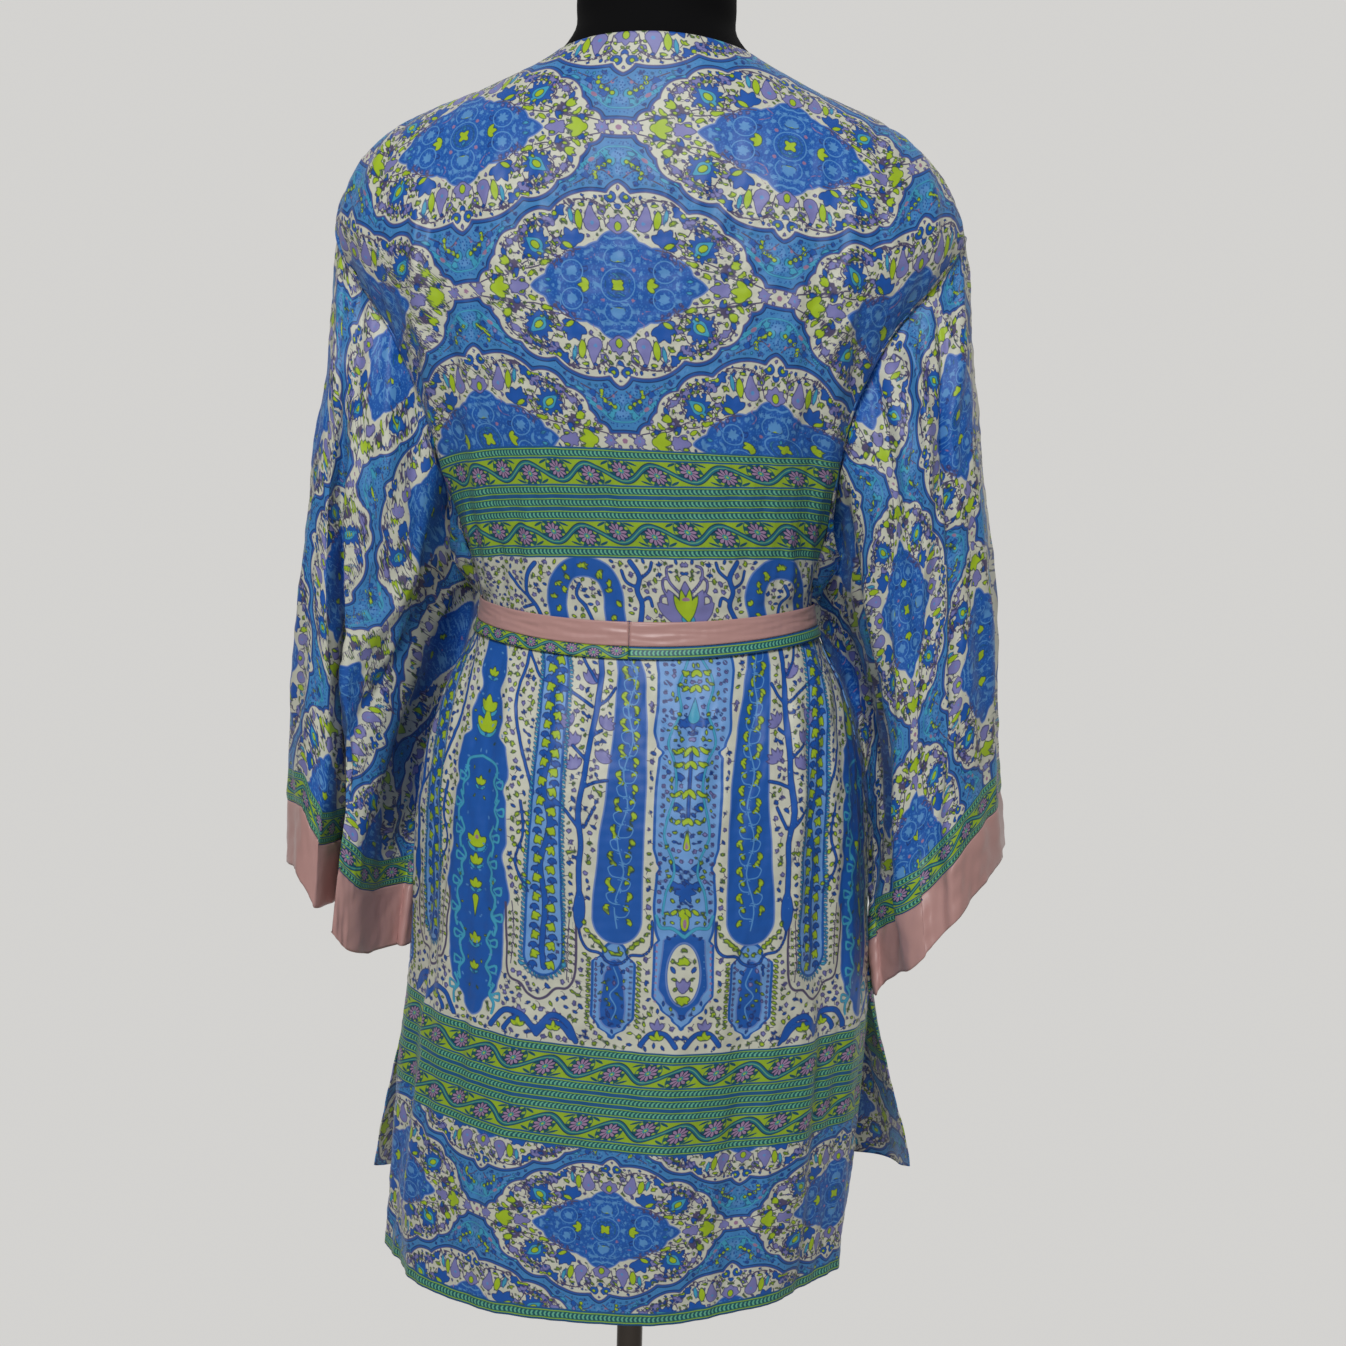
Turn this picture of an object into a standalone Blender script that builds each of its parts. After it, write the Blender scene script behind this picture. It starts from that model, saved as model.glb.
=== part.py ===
"""A short kimono robe, worn by a limbless dress form on a pole stand.

Metres, +Z up, the robe's front faces -Y and the wearer's left is +X. The origin is on the
floor, under the form's axis. The robe's cloth is laid out on one middle surface, read by an
angle round the body and a distance down from the neckline, and every piece of the body of
the robe is a wall made from that surface's points, moved out or in.
"""

import math

import bmesh
import bpy
import numpy as np

# Driving sizes

CLOTH = 0.0012  # thickness of a cloth wall
GAP = 0.0003  # what is left open at a seam
SEAM_ANGLE = 0.08  # half of a shoulder or side seam's gap, in degrees round the body
ROUNDNESS = 2.2  # exponent of the body's sections: 2 is an ellipse, more is squarer

SHOULDER_DROP = 0.197  # down from the neckline, along the shoulder, to the sleeve's top
UNDERARM = 0.375
ARMHOLE_OPENING = 30.0  # degrees from the side to the armhole seam, at its widest
SLIT_TOP = 0.70
HEM_BACK = 0.885
HEM_FRONT = 0.852
HEM_CORNER = 0.008  # how much a front's hem rises towards its corner at the slit
OVERLAP_LIFT = 0.0030  # the left front lies this far outside the right one
ARMHOLE_VALLEY = 0.010  # how deep the sleeve dips beside its seam
UNDERARM_ARCH = 0.006  # how far the sleeve rises and stands off before it turns down
SLEEVE_CLEAR = 0.0050  # the sleeve's middle surface stays this far outside the body's

BELT_TOP = 0.409
BELT_HEIGHT = 0.0175
TRIM_HEIGHT = 0.0088
BELT_THICK = 0.0014
BELT_CLEAR = 0.0007  # the belt's distance from the cloth that it lies on
TAIL_LENGTH = 0.30
KNOT_HALF = (0.016, 0.0085, 0.0145)

CUFF_SHARE = 0.10  # the cuff band's length, as a share of the sleeve's

POLE_RADIUS = 0.0095
BASE_RADIUS = 0.17
BASE_THICK = 0.010
FORM_BOTTOM = 0.77

# Section tables. Each row is one ring round the body, from the neckline to the hem.
# down: cut length from the neckline. side_z: height at the side. The rest are half widths,
# depths from the body's axis and heights at the centre of the back and of the front.

RING_COLUMNS = (
    "down", "back_width", "front_width", "side_z", "back_y", "back_z", "front_y", "front_z",
)
RINGS = (
    (-0.020, 0.0600, 0.0600, 1.388, 0.0590, 1.408, 0.0560, 1.392),
    (0.000, 0.0740, 0.0740, 1.379, 0.0640, 1.390, 0.0600, 1.370),
    (0.050, 0.1200, 0.1200, 1.357, 0.0800, 1.344, 0.0780, 1.331),
    (0.100, 0.1640, 0.1640, 1.338, 0.0940, 1.297, 0.0960, 1.288),
    (0.145, 0.2000, 0.2000, 1.312, 0.1010, 1.253, 0.1070, 1.246),
    (0.172, 0.2155, 0.2155, 1.289, 0.1035, 1.227, 0.1110, 1.221),
    (0.197, 0.2235, 0.2235, 1.264, 0.1050, 1.203, 0.1140, 1.197),
    (0.260, 0.1900, 0.1900, 1.190, 0.1050, 1.140, 0.1150, 1.136),
    (0.320, 0.1560, 0.1560, 1.108, 0.0980, 1.080, 0.1060, 1.076),
    (0.375, 0.1260, 0.1260, 1.030, 0.0915, 1.024, 0.0960, 1.022),
    (0.420, 0.1190, 0.1190, 0.990, 0.0890, 0.979, 0.0925, 0.984),
    (0.445, 0.1275, 0.1275, 0.967, 0.0970, 0.955, 0.0990, 0.960),
    (0.470, 0.1400, 0.1400, 0.944, 0.1065, 0.931, 0.1060, 0.937),
    (0.510, 0.1530, 0.1530, 0.903, 0.1200, 0.893, 0.1150, 0.898),
    (0.550, 0.1600, 0.1600, 0.863, 0.1290, 0.853, 0.1220, 0.858),
    (0.610, 0.1630, 0.1630, 0.803, 0.1350, 0.793, 0.1290, 0.798),
    (0.670, 0.1655, 0.1655, 0.743, 0.1390, 0.733, 0.1340, 0.738),
    (0.700, 0.1675, 0.1675, 0.714, 0.1415, 0.703, 0.1370, 0.708),
    (0.760, 0.1690, 0.1800, 0.654, 0.1475, 0.643, 0.1420, 0.648),
    (0.820, 0.1690, 0.1960, 0.596, 0.1535, 0.584, 0.1470, 0.590),
    (0.885, 0.1680, 0.2120, 0.532, 0.1600, 0.519, 0.1520, 0.526),
)

# How the robe hangs a little askew: how far the back and the front are moved to the left,
# and how much higher their left side is for each metre of width.
ASKEW_COLUMNS = ("down", "back_shift", "front_shift", "back_lean", "front_lean")
ASKEW = (
    (-0.020, 0.000, 0.000, -0.020, -0.020),
    (0.000, 0.000, 0.000, -0.010, -0.010),
    (0.050, 0.001, 0.001, 0.010, 0.010),
    (0.100, 0.002, 0.002, 0.014, 0.014),
    (0.150, 0.003, 0.003, 0.020, 0.020),
    (0.197, 0.004, 0.004, 0.014, 0.014),
    (0.300, 0.002, 0.002, 0.000, 0.000),
    (0.420, -0.002, -0.002, 0.000, 0.000),
    (0.550, -0.002, -0.002, 0.000, 0.000),
    (0.700, -0.002, -0.002, -0.015, -0.015),
    (0.800, 0.004, -0.001, -0.020, -0.038),
    (0.885, 0.009, 0.001, -0.014, -0.078),
)

# Where the left front's free edge runs, in degrees round the body. The right front mirrors it.
FRONT_EDGE = (
    # down, angle
    (0.000, -6.0),
    (0.012, -24.0),
    (0.030, -46.0),
    (0.050, -61.0),
    (0.100, -75.7),
    (0.145, -82.6),
    (0.197, -87.4),
    (0.260, -91.8),
    (0.320, -99.0),
    (0.375, -110.9),
    (0.420, -119.3),
    (0.470, -113.5),
    (0.550, -109.0),
    (0.670, -107.0),
    (0.790, -104.5),
    (0.885, -102.0),
)

# Soft folds of the robe's body: where each one lies, how wide it is, where it starts and
# reaches its full height, how far it stands out, and how far its foot wanders sideways.
BODY_FOLDS = (
    # angle, spread, start, full, height, drift
    (14.0, 6.0, 0.44, 0.60, 0.0030, 4.0),
    (33.0, 6.0, 0.46, 0.66, -0.0035, -3.0),
    (52.0, 8.0, 0.44, 0.70, 0.0040, -4.0),
    (78.0, 7.0, 0.50, 0.80, -0.0025, 3.0),
    (104.0, 9.0, 0.46, 0.72, 0.0035, 2.0),
    (127.0, 6.0, 0.43, 0.60, 0.0030, 5.0),
    (141.0, 5.0, 0.43, 0.62, -0.0030, 4.0),
    (158.0, 7.0, 0.45, 0.66, 0.0040, 2.0),
    (-24.0, 7.0, 0.44, 0.64, 0.0045, -4.0),
    (-43.0, 6.0, 0.45, 0.66, -0.0040, -2.0),
    (-63.0, 9.0, 0.44, 0.70, 0.0045, 2.0),
    (-90.0, 12.0, 0.46, 0.74, -0.0020, 2.0),
    (204.0, 7.0, 0.44, 0.64, 0.0045, 4.0),
    (222.0, 6.0, 0.45, 0.66, -0.0040, 2.0),
    (240.0, 9.0, 0.44, 0.70, 0.0045, -2.0),
)

# The sleeves' two long edges, by share of the sleeve from the armhole to the cuff's seam, and
# on to the cuff's end: the outer one hangs from the shoulder, the inner one from the underarm.
SLEEVE_EDGE_COLUMNS = ("share", "outer_x", "outer_y", "outer_z", "inner_x", "inner_y", "inner_z")
LEFT_SLEEVE_EDGES = (
    (0.00, 0.2265, 0.000, 1.264, 0.1260, 0.000, 1.029),
    (0.10, 0.2290, 0.002, 1.220, 0.1240, -0.014, 0.998),
    (0.25, 0.2335, 0.004, 1.155, 0.1260, -0.048, 0.960),
    (0.40, 0.2430, 0.004, 1.087, 0.1350, -0.064, 0.918),
    (0.60, 0.2505, 0.002, 1.000, 0.1470, -0.063, 0.868),
    (0.80, 0.2550, 0.000, 0.916, 0.1570, -0.050, 0.822),
    (1.00, 0.2560, 0.000, 0.850, 0.1640, -0.032, 0.784),
    (1.10, 0.2580, 0.000, 0.806, 0.1670, -0.020, 0.740),
)
RIGHT_SLEEVE_EDGES = (
    (0.00, 0.2195, 0.000, 1.261, 0.1260, 0.000, 1.029),
    (0.10, 0.2250, 0.002, 1.222, 0.1240, -0.014, 0.996),
    (0.25, 0.2310, 0.004, 1.160, 0.1260, -0.050, 0.955),
    (0.40, 0.2405, 0.004, 1.096, 0.1340, -0.068, 0.908),
    (0.60, 0.2505, 0.002, 1.008, 0.1470, -0.066, 0.848),
    (0.80, 0.2555, 0.000, 0.921, 0.1570, -0.050, 0.796),
    (1.00, 0.2600, 0.000, 0.870, 0.1630, -0.028, 0.757),
    (1.10, 0.2640, 0.000, 0.832, 0.1670, -0.012, 0.721),
)

# How deep each sleeve is filled out, front and back, by share of its length.
SLEEVE_DEPTH = (
    # share, back, front
    (0.00, 0.055, 0.055),
    (0.15, 0.075, 0.060),
    (0.40, 0.092, 0.056),
    (0.80, 0.098, 0.056),
    (1.10, 0.098, 0.058),
)

# Across the sleeve, its hem stays level up to the first share and is fully down at the second.
LEFT_SLEEVE_SLANT = (0.45, 0.85)
RIGHT_SLEEVE_SLANT = (0.00, 0.96)

# The sleeves' long folds: which side they lie on, where across the side they begin and end
# (0 is the outer edge), how wide they are, where they start, and how deep they get.
SLEEVE_FOLD_COLUMNS = ("side", "at_top", "at_cuff", "spread", "start", "deep")
LEFT_SLEEVE_FOLDS = (
    ("back", 0.33, 0.66, 0.070, 0.18, 0.050),
    ("back", 0.68, 0.87, 0.050, 0.40, 0.010),
    ("front", 0.40, 0.50, 0.070, 0.20, 0.028),
    ("front", 0.70, 0.80, 0.060, 0.45, 0.010),
)
RIGHT_SLEEVE_FOLDS = (
    ("back", 0.09, 0.42, 0.050, 0.50, 0.012),
    ("back", 0.28, 0.72, 0.074, 0.14, 0.028),
    ("front", 0.40, 0.46, 0.070, 0.20, 0.028),
    ("front", 0.72, 0.80, 0.060, 0.45, 0.010),
)

# The dress form below its shoulders, which follow the robe's.
FORM_COLUMNS = ("width", "side_z", "back_y", "back_z", "front_y", "front_z")
FORM_NECK = (
    (0.0120, 1.456, 0.0120, 1.456, 0.0120, 1.456),
    (0.0400, 1.4535, 0.0400, 1.4535, 0.0400, 1.4535),
    (0.0530, 1.4450, 0.0530, 1.4450, 0.0530, 1.4450),
    (0.0555, 1.4330, 0.0555, 1.4330, 0.0555, 1.4330),
    (0.0560, 1.4150, 0.0550, 1.4250, 0.0550, 1.4100),
    (0.0570, 1.3970, 0.0560, 1.4080, 0.0560, 1.3900),
)
FORM_TORSO = (
    (0.1880, 1.3120, 0.0930, 1.2600, 0.0980, 1.2540),
    (0.1875, 1.2900, 0.0950, 1.2400, 0.1010, 1.2350),
    (0.1830, 1.2500, 0.0970, 1.2100, 0.1040, 1.2050),
    (0.1700, 1.1950, 0.0975, 1.1700, 0.1060, 1.1650),
    (0.1520, 1.1400, 0.0960, 1.1250, 0.1040, 1.1220),
    (0.1370, 1.0900, 0.0910, 1.0820, 0.0980, 1.0800),
    (0.1220, 1.0400, 0.0855, 1.0350, 0.0890, 1.0340),
    (0.1120, 0.9900, 0.0815, 0.9800, 0.0840, 0.9840),
    (0.1170, 0.9600, 0.0860, 0.9500, 0.0880, 0.9540),
    (0.1330, 0.9150, 0.1010, 0.9050, 0.0980, 0.9100),
    (0.1460, 0.8650, 0.1150, 0.8580, 0.1060, 0.8600),
    (0.1500, 0.8200, 0.1190, 0.8150, 0.1080, 0.8170),
    (0.1490, 0.7750, 0.1180, 0.7750, 0.1070, 0.7750),
    (0.1440, FORM_BOTTOM, 0.1130, FORM_BOTTOM, 0.1020, FORM_BOTTOM),
)
FORM_CLEARANCE = 0.0013  # how far the form's shoulders lie under the robe's middle surface

# How finely each piece is divided
BACK_TOP_ROWS = (0.0, 0.03, 0.06, 0.09, 0.12, 0.145, 0.165, 0.182, SHOULDER_DROP)
FRONT_TOP_ROWS = (0.0, 0.006, 0.012, 0.02, 0.03, 0.043, 0.06, 0.085, 0.115, 0.145, 0.17, SHOULDER_DROP)
FORM_TOP_ROWS = (0.0, 0.03, 0.06, 0.09, 0.12)
ARMHOLE_STEPS = 16
WAIST_ROWS = (0.392, BELT_TOP, BELT_TOP + BELT_HEIGHT, BELT_TOP + BELT_HEIGHT + TRIM_HEIGHT)
SKIRT_ROWS = (0.448, 0.465, 0.49, 0.52, 0.56, 0.60, 0.65, SLIT_TOP)
SLIT_ROWS_BACK = (0.74, 0.78, 0.82, 0.855, HEM_BACK)
SLIT_ROWS_FRONT = (0.735, 0.77, 0.80, 0.83, HEM_FRONT)
BACK_COLUMNS = 24
FRONT_COLUMNS = 12
SLEEVE_SHARES = (0.0, 0.025, 0.06, 0.10, 0.16, 0.24, 0.34, 0.45, 0.57, 0.70, 0.85, 1.0)
FORM_COLUMNS_ROUND = 32

# Colours, roughness and metallic value of each kind of piece
MATERIALS = {
    "printed_silk": ((0.16, 0.27, 0.50), 0.45, 0.0),
    "border_silk": ((0.07, 0.25, 0.25), 0.45, 0.0),
    "mauve_satin": ((0.52, 0.32, 0.32), 0.35, 0.0),
    "form_jersey": ((0.012, 0.012, 0.013), 0.85, 0.0),
    "pole_metal": ((0.10, 0.085, 0.075), 0.30, 0.9),
    "base_metal": ((0.03, 0.03, 0.032), 0.45, 0.6),
}


# Curves through the tables

def smooth_curve(table, column):
    """A function through one column of a table, over its first column, straight past its ends."""
    knots = np.array([row[0] for row in table], float)
    values = np.array([row[column] for row in table], float)
    slopes = np.gradient(values, knots)

    def at(x):
        inside = np.clip(x, knots[0], knots[-1])
        i = np.clip(np.searchsorted(knots, inside, side="right") - 1, 0, len(knots) - 2)
        span = knots[i + 1] - knots[i]
        t = (inside - knots[i]) / span
        rise = values[i + 1] - values[i]
        bend = (t**3 - 2 * t**2 + t) * slopes[i] + (t**3 - t**2) * slopes[i + 1]
        beyond = (x - inside) * np.where(x > inside, slopes[-1], slopes[0])
        return values[i] + rise * (3 * t**2 - 2 * t**3) + span * bend + beyond

    return at


def unit(vectors):
    return vectors / np.linalg.norm(vectors, axis=-1, keepdims=True)


def ease(t):
    t = np.clip(t, 0.0, 1.0)
    return t * t * (3 - 2 * t)


RING = {name: smooth_curve(RINGS, i) for i, name in enumerate(RING_COLUMNS)}
HANG = {name: smooth_curve(ASKEW, i) for i, name in enumerate(ASKEW_COLUMNS)}
front_edge_left = smooth_curve(FRONT_EDGE, 1)


# The robe's middle surface

def section(angle, width, depth):
    """x and y of a squarish oval at an angle in degrees, 0 at +X and 90 at +Y."""
    c, s = np.cos(np.radians(angle)), np.sin(np.radians(angle))
    power = 2.0 / ROUNDNESS
    return width * np.sign(c) * np.abs(c) ** power, depth * np.sign(s) * np.abs(s) ** power


def plain_surface(angle, down):
    """The middle surface without its folds."""
    s = np.sin(np.radians(angle))
    behind = s > 0
    width = np.where(behind, RING["back_width"](down), RING["front_width"](down))
    depth = np.where(behind, RING["back_y"](down), RING["front_y"](down))
    middle_z = np.where(behind, RING["back_z"](down), RING["front_z"](down))
    side_z = RING["side_z"](down)
    x, y = section(angle, width, depth)
    lean = np.where(behind, HANG["back_lean"](down), HANG["front_lean"](down))
    z = side_z + (middle_z - side_z) * s**2 + x * lean
    x = x + np.where(behind, HANG["back_shift"](down), HANG["front_shift"](down))
    return np.stack([x, y, z], axis=-1)


def normal_of(surface, angle, down, da=0.4, dd=0.002):
    """Unit vectors that point out of a surface of angle and down."""
    across = surface(angle + da, down) - surface(angle - da, down)
    along = surface(angle, down + dd) - surface(angle, down - dd)
    n = np.cross(along, across)
    return n / np.linalg.norm(n, axis=-1, keepdims=True)


def fold_height(angle, down):
    total = np.zeros(np.broadcast(angle, down).shape)
    for at, spread, start, full, height, drift in BODY_FOLDS:
        reach = ease((down - start) / (full - start))
        apart = (angle - at - drift * reach + 180.0) % 360.0 - 180.0
        total = total + height * reach * np.exp(-((apart / spread) ** 2))
    return total


def robe_surface(angle, down):
    """The middle surface with its folds, for arrays of angles and distances down."""
    angle, down = np.broadcast_arrays(np.asarray(angle, float), np.asarray(down, float))
    base = plain_surface(angle, down)
    return base + normal_of(plain_surface, angle, down) * fold_height(angle, down)[..., None]


def lifted(angle, down, lift):
    """Points that lie a lift outside the middle surface."""
    angle, down = np.broadcast_arrays(np.asarray(angle, float), np.asarray(down, float))
    lift = np.broadcast_to(np.asarray(lift, float), angle.shape)
    return robe_surface(angle, down) + normal_of(robe_surface, angle, down) * lift[..., None]


def armhole_angle(down):
    """Degrees from the side to the armhole seam."""
    q = np.clip((down - SHOULDER_DROP) / (UNDERARM - SHOULDER_DROP), 0.0, 1.0)
    return ARMHOLE_OPENING * np.sin(np.pi * q) ** 0.8


def armhole_downs():
    """Distances down at the armhole seam's points, close together at its two ends."""
    t = np.arange(ARMHOLE_STEPS + 1) / ARMHOLE_STEPS
    return SHOULDER_DROP + (UNDERARM - SHOULDER_DROP) * (1 - np.cos(np.pi * t)) / 2


def side_angle(down, slit_spread):
    """Where a panel ends at the side: at the seam, the armhole, or the slit's free edge."""
    slit = slit_spread * ease((down - SLIT_TOP) / (HEM_BACK - SLIT_TOP))
    return SEAM_ANGLE + armhole_angle(down) + slit


def back_side_angle(down):
    return side_angle(down, 16.0)


def front_side_angle(down):
    return side_angle(down, 9.0)


def left_front_lift(angle, down):
    """The left front lies on the right one where the two overlap."""
    return OVERLAP_LIFT * ease((-angle - 20.0) / 30.0) * ease((down - 0.08) / 0.08)


# Solids

def material(name):
    made = bpy.data.materials.get(name)
    if made is None:
        colour, roughness, metallic = MATERIALS[name]
        made = bpy.data.materials.new(name)
        made.use_nodes = True
        shader = made.node_tree.nodes["Principled BSDF"]
        shader.inputs["Base Color"].default_value = (*colour, 1.0)
        shader.inputs["Roughness"].default_value = roughness
        shader.inputs["Metallic"].default_value = metallic
    return made


def add_object(name, bm, material_name):
    bmesh.ops.recalc_face_normals(bm, faces=bm.faces)
    mesh = bpy.data.meshes.new(name)
    bm.to_mesh(mesh)
    bm.free()
    mesh.shade_smooth()
    mesh.set_sharp_from_angle(angle=math.radians(50))
    mesh.materials.append(material(material_name))
    obj = bpy.data.objects.new(name, mesh)
    bpy.context.scene.collection.objects.link(obj)
    return obj


def wall(name, outer, inner, material_name, tube=False):
    """A closed solid between two grids of points, rows by columns. A tube's rows are loops.

    Both faces are split along the same diagonals, so the wall keeps its thickness.
    """
    bm = bmesh.new()
    rows, columns = outer.shape[:2]
    out = [[bm.verts.new(p) for p in row] for row in outer]
    into = [[bm.verts.new(p) for p in row] for row in inner]
    last = columns if tube else columns - 1
    for i in range(rows - 1):
        for j in range(last):
            k = (j + 1) % columns
            for a, b, c in (((i, j), (i + 1, j), (i + 1, k)), ((i, j), (i + 1, k), (i, k))):
                bm.faces.new((out[a[0]][a[1]], out[b[0]][b[1]], out[c[0]][c[1]]))
                bm.faces.new((into[c[0]][c[1]], into[b[0]][b[1]], into[a[0]][a[1]]))
    for i in (0, rows - 1):
        for j in range(last):
            k = (j + 1) % columns
            bm.faces.new((out[i][j], out[i][k], into[i][k], into[i][j]))
    if not tube:
        for j in (0, columns - 1):
            for i in range(rows - 1):
                bm.faces.new((out[i][j], out[i + 1][j], into[i + 1][j], into[i][j]))
    return add_object(name, bm, material_name)


def lifted_wall(name, angle, down, lift, thick, material_name):
    outer = lifted(angle, down, lift + thick / 2)
    inner = lifted(angle, down, lift - thick / 2)
    return wall(name, outer, inner, material_name)


def blend_columns(first, last, count):
    """Rows of evenly spaced values from first to last, which hold one value for each row."""
    t = np.linspace(0.0, 1.0, count + 1)
    return first[:, None] * (1 - t) + last[:, None] * t


# The robe's body

def panel_rows(top_rows, slit_rows):
    return np.array([*top_rows, *armhole_downs()[1:], *WAIST_ROWS, *SKIRT_ROWS, *slit_rows])


def back_panel():
    down = panel_rows(BACK_TOP_ROWS, SLIT_ROWS_BACK)
    side = back_side_angle(down)
    angle = blend_columns(side, 180.0 - side, BACK_COLUMNS)
    lifted_wall("back_panel", angle, down[:, None], 0.0, CLOTH, "printed_silk")


def front_panel(name, left):
    """A front, from the side seam to its free edge."""
    down = panel_rows(FRONT_TOP_ROWS, SLIT_ROWS_FRONT)
    angle = blend_columns(-front_side_angle(down), front_edge_left(down), FRONT_COLUMNS)
    corner = np.clip(1.0 - np.arange(FRONT_COLUMNS + 1) / 3.0, 0.0, 1.0) ** 2
    down = down[:, None] - HEM_CORNER * corner * ease((down[:, None] - 0.78) / (HEM_FRONT - 0.78))
    if left:
        lifted_wall(name, angle, down, left_front_lift(angle, down), CLOTH, "printed_silk")
    else:
        lifted_wall(name, 180.0 - angle[:, ::-1], down[:, ::-1], 0.0, CLOTH, "printed_silk")


# The belt

def belt_lift(angle):
    """The belt passes over one layer behind, and over both fronts before."""
    over = ease((-angle - 20.0) / 30.0) * ease((angle + 128.0) / 8.0)
    return CLOTH / 2 + BELT_CLEAR + BELT_THICK / 2 + OVERLAP_LIFT * over


def belt_half(name, left, top, height, material_name):
    ends = np.array([90.0 - 0.1, -83.6]) if left else np.array([90.0 + 0.1, 263.6])
    angle = np.linspace(*ends, 36)[:, None]
    folded = np.where(angle > 180.0, angle - 360.0, angle)
    lift = belt_lift(folded)
    down = np.array([top, top + height])[None, :]
    angle, down, lift = np.broadcast_arrays(angle, down, lift)
    lifted_wall(name, angle, down, lift, BELT_THICK, material_name)


def knot():
    """A plain knot, a squarish ball with its middle drawn in."""
    centre = lifted(-90.0, BELT_TOP + 0.013, OVERLAP_LIFT + CLOTH / 2 + 0.002 + KNOT_HALF[1])
    bm = bmesh.new()
    bmesh.ops.create_uvsphere(bm, u_segments=20, v_segments=12, radius=1.0)
    half = np.array(KNOT_HALF)
    for v in bm.verts:
        p = np.array(v.co)
        p = np.sign(p) * np.abs(p) ** 0.6
        v.co = centre + p * half
    add_object("belt_knot", bm, "mauve_satin")


def belt_tail(name, side):
    """One hanging end of the belt. Side is 1 for the left one and -1 for the right one."""
    t = np.linspace(0.0, 1.0, 13)[:, None]
    u = np.array([-1.0, 0.0, 1.0])[None, :]
    down = BELT_TOP + 0.0285 + t * TAIL_LENGTH * (1.0 if side > 0 else 0.92)
    centre = -90.0 + side * (6.4 + 1.2 * t)
    half_width = np.degrees(0.0065 + 0.0065 * ease(t / 0.2)) / 0.125
    angle = centre + u * half_width
    clear = OVERLAP_LIFT + CLOTH / 2 + BELT_CLEAR + BELT_THICK / 2
    lift = clear + 0.0006 + 0.0004 * np.sin(6.0 * t)
    angle, down, lift = np.broadcast_arrays(angle, down, lift)
    lifted_wall(name, angle, down, lift, BELT_THICK, "mauve_satin")


# The sleeves

def armhole_loop(left):
    """The armhole seam, from its top round the back to the underarm and the front.

    Gives its points and the cloth's normals there. A right one is turned over to the left.
    """
    downs = armhole_downs()
    back = armhole_angle(downs)
    angle = np.concatenate([back, -back[-2:0:-1]])
    down = np.concatenate([downs, downs[-2:0:-1]])
    turned = angle if left else 180.0 - angle
    points = robe_surface(turned, down)
    normals = normal_of(robe_surface, turned, down)
    if not left:
        points, normals = mirrored(points), mirrored(normals)
    along = np.roll(points, -1, axis=0) - np.roll(points, 1, axis=0)
    inward = np.cross(along, normals)
    inward /= np.linalg.norm(inward, axis=-1, keepdims=True)
    flip = np.sign(np.sum(inward * (points.mean(axis=0) - points), axis=-1, keepdims=True))
    return points + inward * flip * GAP, normals


def fold_centre(row, share):
    return row["at_top"] + (row["at_cuff"] - row["at_top"]) * ease((share - 0.15) / 0.75)


def across_side(rows, share):
    """Where one side of a sleeve is sampled: at its folds' rims and floors, and between them."""
    marks = [0.0]
    for row in rows:
        centre = fold_centre(row, share)
        start = centre - 1.4 * row["spread"]
        for t in (1, 2):
            marks.append(marks[-1] + (start - marks[-1]) * (0.35 if t == 1 else 0.5))
        marks += [centre + k * row["spread"] for k in (-1.4, -0.5, 0.5, 1.4)]
    last = marks[-1]
    marks += [last + (1.0 - last) * t for t in (0.3, 0.6, 0.85, 1.0)]
    return np.array(marks)


def hanging_side(edges, folds, share, side):
    """One side of a sleeve's section, outer edge to inner edge."""
    rows = [dict(zip(SLEEVE_FOLD_COLUMNS, fold)) for fold in folds]
    rows = [row for row in rows if row["side"] == side]
    p = across_side(rows, share)
    outer = np.array([edges[f"outer_{axis}"](share) for axis in "xyz"])
    inner = np.array([edges[f"inner_{axis}"](share) for axis in "xyz"])
    deep = smooth_curve(SLEEVE_DEPTH, 1 if side == "back" else 2)(share) * np.abs(np.sin(np.pi * p)) ** 0.55
    for row in rows:
        grown = row["deep"] * ease((share - row["start"]) / (0.95 - row["start"])) ** 0.7
        deep = deep - grown * np.exp(-(((p - fold_centre(row, share)) / row["spread"]) ** 4))
    deep = np.maximum(deep, 0.004 * np.sin(np.pi * p))
    points = outer + p[:, None] * (inner - outer)
    points[:, 1] += deep if side == "back" else -deep
    level, down = edges["slant"]
    start, end = level * ease(share), 1.0 + (down - 1.0) * ease(share)
    points[:, 2] = outer[2] + np.clip((p - start) / (end - start), 0.0, 1.0) * (inner[2] - outer[2])
    return points


def room_wanted(points, left, clear):
    """How far each point would have to move out, on the level, to clear the robe's body."""
    x, y, z = points.T * np.array([[1.0 if left else -1.0], [1.0], [1.0]])
    down = 1.40 - z
    for _ in range(6):
        behind = y > 0
        width = np.where(behind, RING["back_width"](down), RING["front_width"](down))
        depth = np.where(behind, RING["back_y"](down), RING["front_y"](down))
        shift = np.where(behind, HANG["back_shift"](down), HANG["front_shift"](down))
        power = ROUNDNESS / 2
        c = np.sign(x - shift) * np.abs((x - shift) / width) ** power
        s = np.sign(y) * np.abs(y / depth) ** power
        angle = np.degrees(np.arctan2(s, c))
        body = robe_surface(angle, down)
        down = np.clip(down + (body[:, 2] - z), 0.15, HEM_FRONT)
    side = np.where(np.abs(angle) > 90.0, 180.0 - np.abs(angle), np.abs(angle))
    near = ease((side - armhole_angle(down) + 5.0) / 5.0)
    need = np.hypot(body[:, 0] - shift, body[:, 1]) + clear - np.hypot(x - shift, y)
    return np.maximum(need, 0.0) * near


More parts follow.
